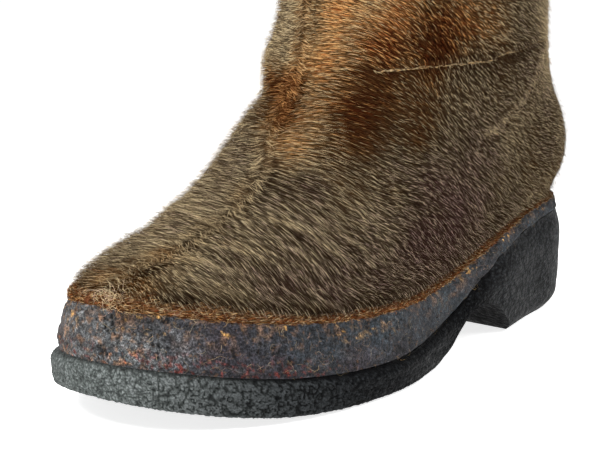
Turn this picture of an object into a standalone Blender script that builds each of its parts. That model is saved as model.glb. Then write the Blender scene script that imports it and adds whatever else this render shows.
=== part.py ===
"""A left fur boot on a thick felt midsole and a moulded rubber sole, built piece by piece.

X points to the toe, Y to the boot's left (its outer side) and Z up. The floor is z = 0.
Sizes are in millimetres until the points go into a mesh, which is in metres.
"""

import math

import bmesh
import bpy
import numpy as np

MM = 0.001

# Driving sizes
SOLE_LENGTH = 300.0
SOLE_BACK_X = -150.0
TOE_SPRING = 12.0
COLLAR_Z = 288.0
UPPER_WALL = 5.0
INSOLE_THICKNESS = 3.0
SEAT_GAP = 0.3

# How finely the curved faces are divided
STATIONS_A_SIDE = 26
LEVEL_STEP = 10.0
ARCH_STEPS = 33
SHARP_ANGLE = 40.0


def table(columns, *rows):
    """Named columns from rows of numbers, each row one section of the boot."""
    return dict(zip(columns.split(), np.array(rows, float).T))


# The sole from heel (share 0) to toe (share 1): middle line, half width, and the heights of the two layers
SOLE = table(
    "share centre half rubber_top felt_top",
    (0.00, -4.5, 31.0, 48.0, 55.0),
    (0.16, -3.0, 34.0, 46.0, 52.0),
    (0.32, 3.5, 37.0, 37.5, 44.5),
    (0.48, 3.5, 41.0, 18.0, 31.0),
    (0.64, 2.5, 52.5, 13.0, 30.5),
    (0.80, -2.0, 53.0, 15.0, 34.0),
    (1.00, -6.0, 43.5, 25.0, 44.5),
)
SOLE_HEEL_ROUND = 0.16
SOLE_TOE_ROUND = 0.26
SOLE_ROUND_POWER = 2.3
SPRING_START = 0.72

# Side profiles from bottom to top: how far a level lies inside the outline, and its share of the height
RUBBER_SIDE = table(
    "inset height",
    (5.0, 0.00),
    (2.0, 0.07),
    (0.4, 0.24),
    (0.0, 0.50),
    (0.6, 0.88),
    (2.4, 1.00),
)
FELT_SIDE = table(
    "inset height",
    (2.6, 0.00),
    (1.8, 0.12),
    (1.6, 0.40),
    (1.8, 0.80),
    (2.8, 1.00),
)
FELT_LEAN = 0.20

# The tunnel arch under the waist, seen from the side
ARCH = table(
    "x z",
    (-70.0, -2.0),
    (-62.0, 3.0),
    (-55.0, 9.0),
    (-46.0, 15.5),
    (-36.0, 18.5),
    (-27.0, 18.6),
    (-19.5, 16.3),
    (-13.0, 12.0),
    (-5.5, 6.8),
    (4.5, 3.0),
    (20.0, -1.0),
)
ARCH_HALF_LENGTH = 80.0

# Rings of the upper above the felt: back point, front point, half widths before the ends are rounded,
# and how much of the felt's dip at the waist the ring still follows
FEATHER_INSET = 0.5
LIP_INSET = 0.0
LIP_HEIGHT = 5.0
UPPER = table(
    "back_x back_y back_z front_x front_y front_z heel mid fore heel_round toe_round dip",
    (-149.0, -3.0, 71.0, 131.0, -10.0, 54.0, 36.0, 43.0, 45.5, 0.20, 0.28, 0.85),
    (-150.0, -3.0, 81.0, 108.0, -11.5, 61.0, 38.0, 44.0, 43.0, 0.22, 0.32, 0.65),
    (-147.5, -3.0, 90.0, 82.0, -11.0, 74.0, 39.0, 45.0, 42.0, 0.24, 0.36, 0.42),
    (-141.0, -3.0, 100.0, 64.0, -9.0, 89.5, 40.5, 46.5, 43.0, 0.28, 0.42, 0.20),
    (-134.0, -3.0, 110.0, 53.0, -6.0, 101.5, 43.0, 48.5, 44.0, 0.35, 0.46, 0.05),
    (-128.0, -3.0, 119.0, 44.0, -4.0, 108.5, 47.5, 50.0, 46.0, 0.44, 0.50, 0.00),
    (-123.5, -2.5, 128.0, 42.5, -3.5, 117.0, 50.5, 51.8, 48.0, 0.50, 0.50, 0.00),
    (-115.5, -2.0, 148.0, 33.5, -2.5, 144.0, 51.0, 52.0, 48.5, 0.50, 0.50, 0.00),
    (-110.5, -1.0, 180.0, 31.5, -1.0, 180.0, 51.5, 52.5, 49.5, 0.50, 0.50, 0.00),
    (-110.5, 0.0, 225.0, 33.5, 0.0, 225.0, 53.0, 54.0, 51.0, 0.50, 0.50, 0.00),
    (-113.5, 0.0, COLLAR_Z, 37.0, 0.0, COLLAR_Z, 56.5, 57.5, 54.5, 0.50, 0.50, 0.00),
)
WIDTH_SHARES = (0.0, 0.2, 0.5, 0.78, 1.0)
UPPER_ROUND_POWER = 2.0
UPPER_SWING_POWER = 1.5

INSOLE_INSET = 13.5
INSOLE_TOE_STOP = 0.93


def curve(at, places, values):
    """Smooth cubic through the values at their places, with the slopes of their neighbours."""
    places = np.asarray(places, float)
    values = np.asarray(values, float)
    slopes = np.gradient(values, places, axis=0)
    at = np.clip(np.asarray(at, float), places[0], places[-1])
    left = np.clip(np.searchsorted(places, at, side="right") - 1, 0, len(places) - 2)
    width = places[left + 1] - places[left]
    t = (at - places[left]) / width
    shape = (-1,) + (1,) * (values.ndim - 1)
    t = t.reshape(shape) if values.ndim > 1 else t
    width = width.reshape(shape) if values.ndim > 1 else width
    ease = t * t * (3.0 - 2.0 * t)
    start = t * (1.0 - t) ** 2 * width
    end = -t * t * (1.0 - t) * width
    blend = values[left] * (1.0 - ease) + values[left + 1] * ease
    return blend + slopes[left] * start + slopes[left + 1] * end


def rounded_ends(share, heel_round, toe_round, power):
    """1 along the middle, falling to 0 at both ends along a superellipse."""
    heel = np.clip(1.0 - share / heel_round, 0.0, 1.0)
    toe = np.clip(1.0 - (1.0 - share) / toe_round, 0.0, 1.0)
    return (1.0 - heel**power) ** (1.0 / power) * (1.0 - toe**power) ** (1.0 / power)


def ring_shares():
    """Share of the length and side (+1 left, -1 right) of each point of a ring, from the heel by the left."""
    turn = np.arange(2 * STATIONS_A_SIDE) * math.pi / STATIONS_A_SIDE
    return (1.0 - np.cos(turn)) / 2.0, np.sign(np.round(np.sin(turn), 9))


def sole_ring(inset):
    """Points of the sole's outline in plan, moved in along its normals."""
    share, side = ring_shares()
    half = curve(share, SOLE["share"], SOLE["half"])
    half = half * rounded_ends(share, SOLE_HEEL_ROUND, SOLE_TOE_ROUND, SOLE_ROUND_POWER)
    x = SOLE_BACK_X + SOLE_LENGTH * share
    y = curve(share, SOLE["share"], SOLE["centre"]) + side * half
    ahead = np.stack([np.roll(x, -1) - np.roll(x, 1), np.roll(y, -1) - np.roll(y, 1)], axis=1)
    ahead /= np.linalg.norm(ahead, axis=1, keepdims=True)
    return np.stack([x + ahead[:, 1] * inset, y - ahead[:, 0] * inset], axis=1)


def sole_share(x):
    return np.clip((x - SOLE_BACK_X) / SOLE_LENGTH, 0.0, 1.0)


def tread_z(x):
    """Underside of the sole: flat, then rising to the toe."""
    return TOE_SPRING * np.clip((sole_share(x) - SPRING_START) / (1.0 - SPRING_START), 0.0, 1.0) ** 2


def sole_height(x, column):
    return curve(sole_share(x), SOLE["share"], SOLE[column])


def felt_lean(height):
    """How far the felt's wall has leaned in at this share of its height, round the outline."""
    share = ring_shares()[0]
    rubber_top = curve(share, SOLE["share"], SOLE["rubber_top"])
    felt_top = curve(share, SOLE["share"], SOLE["felt_top"])
    return (felt_top - rubber_top) * height * FELT_LEAN


def layer_rings(side, lower, upper, lean):
    """Rings of one sole layer between two heights that are functions of x."""
    rings = []
    for inset, height in zip(side["inset"], side["height"]):
        plan = sole_ring(inset + lean(height))
        bottom = lower(plan[:, 0])
        z = bottom + (upper(plan[:, 0]) - bottom) * height
        rings.append(np.column_stack([plan, z]))
    return np.array(rings)


def upper_ring(row):
    """One ring of the upper, from its row of the table."""
    share, side = ring_shares()
    widths = (row["heel"], row["heel"], row["mid"], row["fore"], row["fore"])
    half = curve(share, WIDTH_SHARES, widths)
    half = half * rounded_ends(share, row["heel_round"], row["toe_round"], UPPER_ROUND_POWER)
    x = row["back_x"] + (row["front_x"] - row["back_x"]) * share
    swing = (row["front_y"] - row["back_y"]) * share**UPPER_SWING_POWER
    y = row["back_y"] + swing + side * half
    felt = curve(share, SOLE["share"], SOLE["felt_top"])
    dip = felt - (felt[0] + (SOLE["felt_top"][-1] - felt[0]) * share)
    z = row["back_z"] + (row["front_z"] - row["back_z"]) * share + row["dip"] * dip
    return np.column_stack([x, y, z])


def upper_rings():
    """All rings of the upper's outer face, from the felt's edge to the collar."""
    keys = []
    for inset, rise in ((FEATHER_INSET, SEAT_GAP), (LIP_INSET, LIP_HEIGHT)):
        plan = sole_ring(felt_lean(1.0) + FELT_SIDE["inset"][-1] + inset)
        keys.append(np.column_stack([plan, sole_height(plan[:, 0], "felt_top") + rise]))
    for index in range(len(UPPER["back_x"])):
        keys.append(upper_ring({name: values[index] for name, values in UPPER.items()}))
    keys = np.array(keys)
    steps = np.linalg.norm(np.diff(keys, axis=0), axis=2).mean(axis=1)
    places = np.concatenate([[0.0], np.cumsum(steps)])
    counts = np.ceil(steps / LEVEL_STEP).astype(int)
    spans = zip(places[:-1], places[1:], counts)
    levels = [np.linspace(low, high, count, endpoint=False) for low, high, count in spans]
    return curve(np.concatenate([*levels, places[-1:]]), places, keys)


def ring_mesh(name, rings, capped):
    """Mesh of the bands between rings, with the first and last ring closed across if capped."""
    levels, around = rings.shape[:2]
    index = np.arange(levels * around).reshape(levels, around)
    ahead = np.roll(index, -1, axis=1)
    bands = np.stack([index[:-1], index[1:], ahead[1:], ahead[:-1]], axis=-1).reshape(-1, 4)
    faces = bands.tolist()
    if capped:
        faces += cap_faces(index[0], True) + cap_faces(index[-1], False)
    mesh = bpy.data.meshes.new(name)
    mesh.from_pydata((rings.reshape(-1, 3) * MM).tolist(), [], faces)
    mesh.validate()
    return mesh


def cap_faces(ring, facing_down):
    """Strips across a ring, each joining two stations of the left side with the same two of the right."""
    half = len(ring) // 2
    left = ring[: half + 1]
    right = np.concatenate([ring[:1], ring[:half - 1:-1]])
    faces = []
    for i in range(half):
        corners = (left[i], left[i + 1], right[i + 1], right[i])
        face = list(dict.fromkeys(int(corner) for corner in corners))
        faces.append(face if facing_down else face[::-1])
    return faces


def material(name, colour, roughness):
    made = bpy.data.materials.new(name)
    made.use_nodes = True
    shader = made.node_tree.nodes["Principled BSDF"]
    shader.inputs["Base Color"].default_value = (*colour, 1.0)
    shader.inputs["Roughness"].default_value = roughness
    shader.inputs["Metallic"].default_value = 0.0
    return made


def add_piece(name, mesh, finish, collection):
    mesh.materials.append(finish)
    mesh.shade_smooth()
    mesh.set_sharp_from_angle(angle=math.radians(SHARP_ANGLE))
    piece = bpy.data.objects.new(name, mesh)
    collection.objects.link(piece)
    return piece


def arch_cutter(collection):
    """The tunnel's outline as a flat curve, set upright across the sole and thickened past both sides."""
    outline = bpy.data.curves.new("arch_outline", "CURVE")
    outline.dimensions = "2D"
    outline.fill_mode = "BOTH"
    outline.extrude = ARCH_HALF_LENGTH * MM
    spline = outline.splines.new("POLY")
    rows = np.arange(len(ARCH["x"]))
    along = np.linspace(rows[0], rows[-1], ARCH_STEPS)
    points = np.stack([curve(along, rows, ARCH[name]) for name in ("x", "z")], axis=1)
    spline.points.add(len(points) - 1)
    for point, (x, z) in zip(spline.points, points * MM):
        point.co = (x, z, 0.0, 1.0)
    spline.use_cyclic_u = True
    guide = bpy.data.objects.new("arch_guide", outline)
    guide.rotation_euler = (math.pi / 2, 0.0, 0.0)
    collection.objects.link(guide)
    bpy.context.view_layer.update()
    solid = bpy.data.meshes.new_from_object(guide.evaluated_get(bpy.context.evaluated_depsgraph_get()))
    welded = bmesh.new()
    welded.from_mesh(solid)
    bmesh.ops.remove_doubles(welded, verts=welded.verts, dist=0.01 * MM)
    bmesh.ops.recalc_face_normals(welded, faces=welded.faces)
    welded.to_mesh(solid)
    welded.free()
    cutter = bpy.data.objects.new("arch_cutter", solid)
    cutter.matrix_world = guide.matrix_world
    bpy.data.objects.remove(guide)
    collection.objects.link(cutter)
    cutter.hide_render = True
    cutter.display_type = "WIRE"
    return cutter


def rubber_sole(parts, cutters):
    """The moulded unit: the sole's outline lofted up to the felt, with the tunnel cut under the waist."""
    rings = layer_rings(RUBBER_SIDE, tread_z, lambda x: sole_height(x, "rubber_top"), lambda height: 0.0)
    finish = material("rubber", (0.030, 0.036, 0.038), 0.62)
    piece = add_piece("rubber_sole", ring_mesh("rubber_sole", rings, True), finish, parts)
    cut = piece.modifiers.new("arch", "BOOLEAN")
    cut.operation = "DIFFERENCE"
    cut.solver = "EXACT"
    cut.object = arch_cutter(cutters)
    return piece


def felt_midsole(parts):
    """The felt layer, thick under the toes and thin at the heel, its wall leaning in."""
    rings = layer_rings(
        FELT_SIDE,
        lambda x: sole_height(x, "rubber_top") + SEAT_GAP,
        lambda x: sole_height(x, "felt_top"),
        felt_lean,
    )
    finish = material("felt", (0.075, 0.085, 0.095), 0.95)
    return add_piece("felt_midsole", ring_mesh("felt_midsole", rings, True), finish, parts)


def insole(parts):
    """Flat felt cut to the outline, and shortened to stop before the low toe."""
    plan = sole_ring(INSOLE_INSET)
    ahead = plan[:, 0] - SOLE_BACK_X
    plan[:, 0] = SOLE_BACK_X + ahead * SOLE_LENGTH * INSOLE_TOE_STOP / ahead.max()
    floor = sole_height(plan[:, 0], "felt_top") + SEAT_GAP
    rings = [np.column_stack([plan, floor + rise]) for rise in (0.0, INSOLE_THICKNESS)]
    finish = material("insole_felt", (0.30, 0.27, 0.22), 0.95)
    return add_piece("insole", ring_mesh("insole", np.array(rings), True), finish, parts)


def fur_upper(parts):
    """Vamp and shaft in one wall, open at the collar and underneath."""
    finish = material("fur", (0.24, 0.17, 0.095), 0.85)
    piece = add_piece("fur_upper", ring_mesh("fur_upper", upper_rings(), False), finish, parts)
    wall = piece.modifiers.new("wall", "SOLIDIFY")
    wall.thickness = UPPER_WALL * MM
    wall.offset = -1.0
    wall.use_even_offset = True
    return piece


def main():
    for old in list(bpy.data.objects):
        bpy.data.objects.remove(old)
    parts = bpy.data.collections.new("reindeer_fur_boot")
    cutters = bpy.data.collections.new("cutters")
    bpy.context.scene.collection.children.link(parts)
    bpy.context.scene.collection.children.link(cutters)
    rubber_sole(parts, cutters)
    felt_midsole(parts)
    insole(parts)
    fur_upper(parts)


main()
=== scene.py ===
# %% [markdown]
# # A reindeer fur boot
# The real boot has three layers: a rubber sole moulded in one piece, a thick felt midsole, and an
# upper of reindeer hide with the hair left on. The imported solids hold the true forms. In this lesson
# each layer gets a finer surface on the same forms, worked out with numpy, and the hide gets its hair.

import itertools
import math

import bmesh
import bpy
import numpy as np
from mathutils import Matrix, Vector


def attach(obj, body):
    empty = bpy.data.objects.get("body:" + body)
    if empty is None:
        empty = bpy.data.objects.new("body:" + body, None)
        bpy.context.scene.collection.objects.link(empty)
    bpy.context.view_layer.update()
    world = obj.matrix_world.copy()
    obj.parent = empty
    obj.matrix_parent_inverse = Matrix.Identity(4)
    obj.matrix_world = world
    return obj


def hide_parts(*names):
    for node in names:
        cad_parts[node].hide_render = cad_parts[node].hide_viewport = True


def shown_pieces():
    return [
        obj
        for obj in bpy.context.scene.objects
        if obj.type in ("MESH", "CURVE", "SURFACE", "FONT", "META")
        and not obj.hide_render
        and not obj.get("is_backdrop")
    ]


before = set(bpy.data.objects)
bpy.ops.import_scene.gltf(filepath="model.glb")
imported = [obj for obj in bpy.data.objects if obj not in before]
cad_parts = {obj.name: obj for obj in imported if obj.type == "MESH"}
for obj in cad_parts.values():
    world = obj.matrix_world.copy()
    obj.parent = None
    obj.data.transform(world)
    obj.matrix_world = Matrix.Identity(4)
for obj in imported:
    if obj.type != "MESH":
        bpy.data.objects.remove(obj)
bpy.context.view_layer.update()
MM = 0.001
print("solids:", sorted(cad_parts))

# %% [markdown]
# ## Camera
# The photograph looks down a little on the toe and the outer side, from about half a metre away, so
# near parts look clearly larger. A short distance with the matching lens gives the same perspective.
# The focal length is given in pixels of the photograph, which turns into millimetres of lens through
# the sensor's width.

# %% Camera at the photograph's angle
PHOTO_WIDTH = 612.0
FOCAL_PIXELS = 1200.0
SENSOR_WIDTH = 36.0
CAMERA_AT = Vector((398.4, 311.8, 137.5))
CAMERA_AIM = Vector((17.9, -15.3, 53.6))

lens = bpy.data.cameras.new("photo_lens")
lens.sensor_fit = "HORIZONTAL"
lens.sensor_width = SENSOR_WIDTH
lens.lens = FOCAL_PIXELS / PHOTO_WIDTH * SENSOR_WIDTH
lens.clip_start = 0.01
camera = bpy.data.objects.new("photo_camera", lens)
camera.location = CAMERA_AT * MM
camera.rotation_euler = (CAMERA_AIM - CAMERA_AT).to_track_quat("-Z", "Y").to_euler()
bpy.context.scene.collection.objects.link(camera)
bpy.context.scene.camera = camera
print(f"lens {lens.lens:.1f} mm, {(CAMERA_AIM - CAMERA_AT).length:.0f} mm from its aim")

# %% [markdown]
# ## Light
# The boot was photographed on a lit white table in front of a white wall, under a large soft lamp on
# the toe's side. Two square area lamps give that direction. Fur needs it: its texture is mostly each
# hair's own shadow, and light from everywhere would wash it out.

# %% Soft lamps
KEY_LAMP = dict(at=(0.70, 0.10, 0.85), size=0.45, watts=15.0)
FILL_LAMP = dict(at=(0.02, 0.90, 0.95), size=0.45, watts=7.0)
LAMP_AIM = Vector((0.0, 0.0, 0.08))


def lamp(name, at, size, watts):
    """A square area lamp aimed at the middle of the boot."""
    data = bpy.data.lights.new(name, "AREA")
    data.size = size
    data.energy = watts
    made = bpy.data.objects.new(name, data)
    made.location = at
    made.rotation_euler = (LAMP_AIM - Vector(at)).to_track_quat("-Z", "Y").to_euler()
    bpy.context.scene.collection.objects.link(made)


lamp("key_lamp", **KEY_LAMP)
lamp("fill_lamp", **FILL_LAMP)
print(len(bpy.data.lights), "lamps")

# %% [markdown]
# Wall and room are the world's background. A picture of a studio could stand there, but two ramps over
# the direction do: one is white behind the boot, one is white near the horizon and dim overhead. The
# brighter of the two counts, so the boot stands before white and the lamps still give some direction.

# %% White room
WALL_STRENGTH = 1.06
ROOM_STRENGTH = 0.22
BEHIND = ((CAMERA_AIM - CAMERA_AT) * Vector((1.0, 1.0, 0.0))).normalized()
ROOM_SHADES = (
    (BEHIND, (-0.1, 0.8, ROOM_STRENGTH, WALL_STRENGTH)),
    ((0.0, 0.0, 1.0), (0.12, 0.35, WALL_STRENGTH, 0.0)),
)

world = bpy.data.worlds.new("white_room")
world.use_nodes = True
sky = world.node_tree
direction = sky.nodes.new("ShaderNodeTexCoord").outputs["Generated"]
brighter = sky.nodes.new("ShaderNodeMath")
brighter.operation = "MAXIMUM"
for slot, (axis, span) in enumerate(ROOM_SHADES):
    toward = sky.nodes.new("ShaderNodeVectorMath")
    toward.operation = "DOT_PRODUCT"
    toward.inputs[1].default_value = axis
    sky.links.new(direction, toward.inputs[0])
    shade = sky.nodes.new("ShaderNodeMapRange")
    for place, value in enumerate(span, start=1):
        shade.inputs[place].default_value = value
    sky.links.new(toward.outputs["Value"], shade.inputs[0])
    sky.links.new(shade.outputs[0], brighter.inputs[slot])
sky.nodes["Background"].inputs["Color"].default_value = (1.0, 1.0, 1.0, 1.0)
sky.links.new(brighter.outputs[0], sky.nodes["Background"].inputs["Strength"])
bpy.context.scene.world = world
bpy.context.scene.view_settings.view_transform = "Standard"
print("room strength from", ROOM_STRENGTH, "to", WALL_STRENGTH)

# %% [markdown]
# The table is one plain white face. It glows, as a lit table does, and a little more further off, so it
# runs into the wall without a visible edge, while the boot still throws a soft shadow on it.

# %% White floor
STAGE_SIZE = 6.0
PAPER_WHITE = (0.93, 0.93, 0.93, 1.0)
PAPER_ROUGHNESS = 0.9
TABLE_GLOW = ((0.35, 0.78), (1.30, 0.88))

corners = np.array([(-1, -1, 0), (1, -1, 0), (1, 1, 0), (-1, 1, 0)], float) * STAGE_SIZE
floor_mesh = bpy.data.meshes.new("floor")
floor_mesh.from_pydata(corners.tolist(), [], [(0, 1, 2, 3)])
paper = bpy.data.materials.new("white_paper")
paper.use_nodes = True
sheet = paper.node_tree
sheet_shader = sheet.nodes["Principled BSDF"]
sheet_shader.inputs["Base Color"].default_value = PAPER_WHITE
sheet_shader.inputs["Roughness"].default_value = PAPER_ROUGHNESS
sheet_shader.inputs["Emission Color"].default_value = (1.0, 1.0, 1.0, 1.0)
away = sheet.nodes.new("ShaderNodeVectorMath")
away.operation = "LENGTH"
sheet.links.new(sheet.nodes.new("ShaderNodeTexCoord").outputs["Object"], away.inputs[0])
glow = sheet.nodes.new("ShaderNodeMapRange")
for place, value in enumerate(np.transpose(TABLE_GLOW).ravel().tolist(), start=1):
    glow.inputs[place].default_value = value
sheet.links.new(away.outputs["Value"], glow.inputs[0])
sheet.links.new(glow.outputs[0], sheet_shader.inputs["Emission Strength"])
floor_mesh.materials.append(paper)
floor = bpy.data.objects.new("floor", floor_mesh)
bpy.context.scene.collection.objects.link(floor)
floor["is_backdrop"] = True
print("floor", 2.0 * STAGE_SIZE, "m wide")

# %% [markdown]
# ## Smooth curves
# Every outline of the boot is a short table of sizes in millimetres. Straight lines between the rows
# would show as corners, so the tables are read through one smooth curve. An S-curve and a bell curve
# serve wherever something fades in or lies round a place.

# %% Tables and curves
def table(columns, *rows):
    """Named columns from rows of numbers."""
    return dict(zip(columns.split(), np.array(rows, float).T))


def curve(at, places, values):
    """Cubic through the values at their places: each slope is that of its neighbours' chord."""
    places = np.asarray(places, float)
    values = np.asarray(values, float)
    slopes = np.gradient(values, places, axis=0)
    at = np.clip(np.asarray(at, float), places[0], places[-1])
    left = np.clip(np.searchsorted(places, at, side="right") - 1, 0, len(places) - 2)
    shape = at.shape + (1,) * (values.ndim - 1)
    width = (places[left + 1] - places[left]).reshape(shape)
    t = (at - places[left]).reshape(shape) / width
    ease = t * t * (3.0 - 2.0 * t)
    blend = values[left] * (1.0 - ease) + values[left + 1] * ease
    return blend + width * t * (1.0 - t) * (slopes[left] * (1.0 - t) - slopes[left + 1] * t)


def step(low, high, at):
    """S-curve from 0 at low to 1 at high."""
    t = np.clip((at - low) / (high - low), 0.0, 1.0)
    return t * t * (3.0 - 2.0 * t)


def bell(away, reach):
    """1 at no distance, falling along a bell curve to about a third at the reach."""
    return np.exp(-((away / reach) ** 2))


print("S-curve half way:", step(0.0, 1.0, 0.5), "and bell at its reach:", bell(1.0, 1.0).round(2))

# %% [markdown]
# ## Natural unevenness
# Natural materials are uneven at several scales at once, and two kinds of noise give that: soft noise
# swells like cloth, and cell noise has borders like pebbles or cracks. Blender has both as textures,
# but these shapes need them as numbers, so both take whole arrays of points.

# %% Soft noise and cell noise
HASH_PRIMES = np.array([73856093, 19349663, 83492791])
HASH_SEED = 7919
HASH_MIX = 1274126177


def lattice(cell, seed):
    """A repeatable random number from -1 to 1 for each whole-numbered lattice corner: its three numbers
    are multiplied by large primes and added up, and the bits of the sum are stirred."""
    stirred = cell @ HASH_PRIMES + seed * HASH_SEED
    for shift in (13, 15):
        stirred = (stirred ^ (stirred >> shift)) * HASH_MIX & 0xFFFFFFFF
    return (stirred >> 16) / 32767.5 - 1.0


def soft_noise(points, size, seed):
    """Random heights at the corners of cubes of this size, blended between them by an S-curve."""
    at = points / size
    cell = np.floor(at).astype(np.int64)
    part = at - cell
    part = part * part * (3.0 - 2.0 * part)
    total = 0.0
    for corner in itertools.product((0, 1), repeat=3):
        share = np.where(corner, part, 1.0 - part)
        total = total + share[..., 0] * share[..., 1] * share[..., 2] * lattice(cell + corner, seed)
    return total


def cell_noise(points, size, seed):
    """One stray seed point in each cube of this size: the distances to the nearest two, in sizes."""
    at = points / size
    home = np.floor(at).astype(np.int64)
    nearest = np.full(at.shape[:-1], 9.0)
    second = nearest.copy()
    for shift in itertools.product((-1, 0, 1), repeat=3):
        cube = home + shift
        stray = np.stack([lattice(cube, seed + axis) for axis in range(3)], axis=-1)
        away = np.linalg.norm(cube + 0.5 + 0.45 * stray - at, axis=-1)
        second = np.minimum(second, np.maximum(nearest, away))
        nearest = np.minimum(nearest, away)
    return nearest, second


tried = np.random.default_rng(1).uniform(-100.0, 100.0, (20000, 3))
print("soft noise spread", soft_noise(tried, 8.0, 1).std().round(2))

# %% [markdown]
# ## Meshes from grids
# A surface is a grid of points: rows that climb, columns that run along. Grids that close into a ring join
# their last column to the first. Each grid also gets a map called OFBake, which cuts a long ring into strips
# and stacks them, so that a texture laid over it stays sharp.

# %% Faces and map of a grid
STRIP_MARGIN = 0.03
END_MARGIN = 0.01


def unit(vectors):
    """Vectors of length one in the same directions."""
    return vectors / np.maximum(np.linalg.norm(vectors, axis=-1, keepdims=True), 1e-9)


def normals_of(grid):
    """Unit outward normals of a ring surface: the step up its rows crossed with the step along."""
    along = np.roll(grid, -1, axis=1) - np.roll(grid, 1, axis=1)
    return unit(np.cross(np.gradient(grid, axis=0), along))


def patch(grid, ring=False, flip=False, strips=1, low=0.0, high=1.0):
    """Points, faces and map of one grid. The corners of a face go up, along and down again. The map
    stacks the strips from low to high."""
    rows, columns = grid.shape[:2]
    index = np.arange(rows * columns).reshape(rows, columns)
    ahead = np.roll(index, -1, axis=1)
    faces = np.stack([index[:-1], index[1:], ahead[1:], ahead[:-1]], axis=-1)
    spans = columns if ring else columns - 1
    column = np.arange(spans)
    strip = column * strips // spans
    left = column * strips / spans - strip
    u = left[:, None] + np.array([0.0, 0.0, 1.0, 1.0]) * strips / spans
    u = END_MARGIN + (1.0 - 2.0 * END_MARGIN) * u
    row = (np.arange(rows - 1)[:, None, None] + np.array([0.0, 1.0, 1.0, 0.0])) / (rows - 1)
    v = (strip[None, :, None] + STRIP_MARGIN + (1.0 - 2.0 * STRIP_MARGIN) * row) / strips
    uv = np.stack([np.broadcast_to(u, v.shape), low + (high - low) * v], axis=-1)
    faces, uv = faces[:, :spans].reshape(-1, 4), uv.reshape(-1, 4, 2)
    return grid.reshape(-1, 3), faces[:, ::-1] if flip else faces, uv[:, ::-1] if flip else uv


print("a ring of 3 x 8 points has", len(patch(np.zeros((3, 8, 3)), ring=True)[1]), "faces")

# %% [markdown]
# The patches of a piece become one mesh, welded where they meet. Every finished piece then rides on the
# boot's one body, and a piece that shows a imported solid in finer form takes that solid's place.

# %% Pieces from patches
WELD_GAP = 0.004


def build(name, points, faces, finish, maps=(), values=None):
    """A mesh object at the origin from arrays in millimetres, with UV maps and per-point values."""
    mesh = bpy.data.meshes.new(name)
    mesh.vertices.add(len(points))
    mesh.vertices.foreach_set("co", (points * MM).astype(np.float32).ravel())
    mesh.loops.add(faces.size)
    mesh.loops.foreach_set("vertex_index", faces.astype(np.int32).ravel())
    mesh.polygons.add(len(faces))
    mesh.polygons.foreach_set("loop_start", np.arange(len(faces), dtype=np.int32) * faces.shape[1])
    for label, uv in maps:
        mesh.uv_layers.new(name=label).uv.foreach_set("vector", uv.astype(np.float32).ravel())
    for label, value in (values or {}).items():
        kind = "FLOAT" if value.ndim == 1 else "FLOAT_COLOR"
        layer = mesh.attributes.new(label, kind, "POINT")
        layer.data.foreach_set("value" if value.ndim == 1 else "color", value.astype(np.float32).ravel())
    mesh.update(calc_edges=True)
    mesh.shade_smooth()
    mesh.materials.append(finish)
    piece = bpy.data.objects.new(name, mesh)
    bpy.context.scene.collection.objects.link(piece)
    return piece


def sew(name, patches, finish, values=None):
    """One welded mesh from several patches."""
    firsts = np.cumsum([0] + [len(points) for points, _, _ in patches[:-1]])
    faces = np.concatenate([faces + first for first, (_, faces, _) in zip(firsts, patches)])
    uv = np.concatenate([uv for _, _, uv in patches])
    points = np.concatenate([points for points, _, _ in patches])
    piece = build(name, points, faces, finish, [("OFBake", uv)], values)
    welded = bmesh.new()
    welded.from_mesh(piece.data)
    bmesh.ops.remove_doubles(welded, verts=welded.verts, dist=WELD_GAP * MM)
    welded.to_mesh(piece.data)
    welded.free()
    return piece


def triangles(piece):
    """How many triangles the piece's mesh holds."""
    piece.data.calc_loop_triangles()
    return len(piece.data.loop_triangles)


def seat(piece, slot, *nodes):
    """The piece rides on the boot and stands for these solids. The slot is not used."""
    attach(piece, "root")
    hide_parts(*nodes)
    low, high = np.array(piece.bound_box).min(0) / MM, np.array(piece.bound_box).max(0) / MM
    print(f"{piece.name}: {triangles(piece)} triangles, {low.round(1)} to {high.round(1)} mm")


print("patches weld within", WELD_GAP, "mm")

# %% [markdown]
# ## Finishes from nodes
# A finish is a small node tree on one Principled shader. A few helpers keep the trees short: one adds
# a node, one a ramp of colours, one a mix, and one turns colours as an eye reads them on a screen into
# the linear numbers that the shader wants.

# %% Node helpers
def paint(red, green, blue):
    """Linear colour from screen numbers of 0 to 255."""
    screen = np.array([red, green, blue]) / 255.0
    linear = np.where(screen <= 0.04045, screen / 12.92, ((screen + 0.055) / 1.055) ** 2.4)
    return (*linear.tolist(), 1.0)


def node(tree, kind, inputs=None, **settings):
    """One shader node: settings are its properties, and an input is a value or another node's output."""
    made = tree.nodes.new("ShaderNode" + kind)
    for name, value in settings.items():
        setattr(made, name, value)
    for name, value in (inputs or {}).items():
        if isinstance(value, bpy.types.NodeSocket):
            tree.links.new(value, made.inputs[name])
        else:
            made.inputs[name].default_value = value
    return made


def ramp(tree, factor, *stops):
    """Colours at places between 0 and 1, blended along the factor."""
    made = node(tree, "ValToRGB", {0: factor})
    marks = made.color_ramp.elements
    while len(marks) < len(stops):
        marks.new(0.5)
    for mark, (place, colour) in zip(marks, stops):
        mark.position = place
        mark.color = colour
    return made.outputs["Color"]


def grey(value):
    """A neutral colour of this linear value."""
    return (value, value, value, 1.0)


def mixed(tree, factor, first, second, blend="MIX"):
    """Two colours mixed by a factor."""
    made = node(tree, "Mix", {0: factor, 6: first, 7: second}, data_type="RGBA", blend_type=blend)
    return made.outputs[2]


print("mid grey of a screen is", round(paint(128, 128, 128)[0], 3), "in linear numbers")

# %% [markdown]
# Every finish of the boot starts alike: a dull Principled shader, noise on the piece's own coordinates
# for its grain, and a Bump node for relief that is too small for the mesh.

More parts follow.
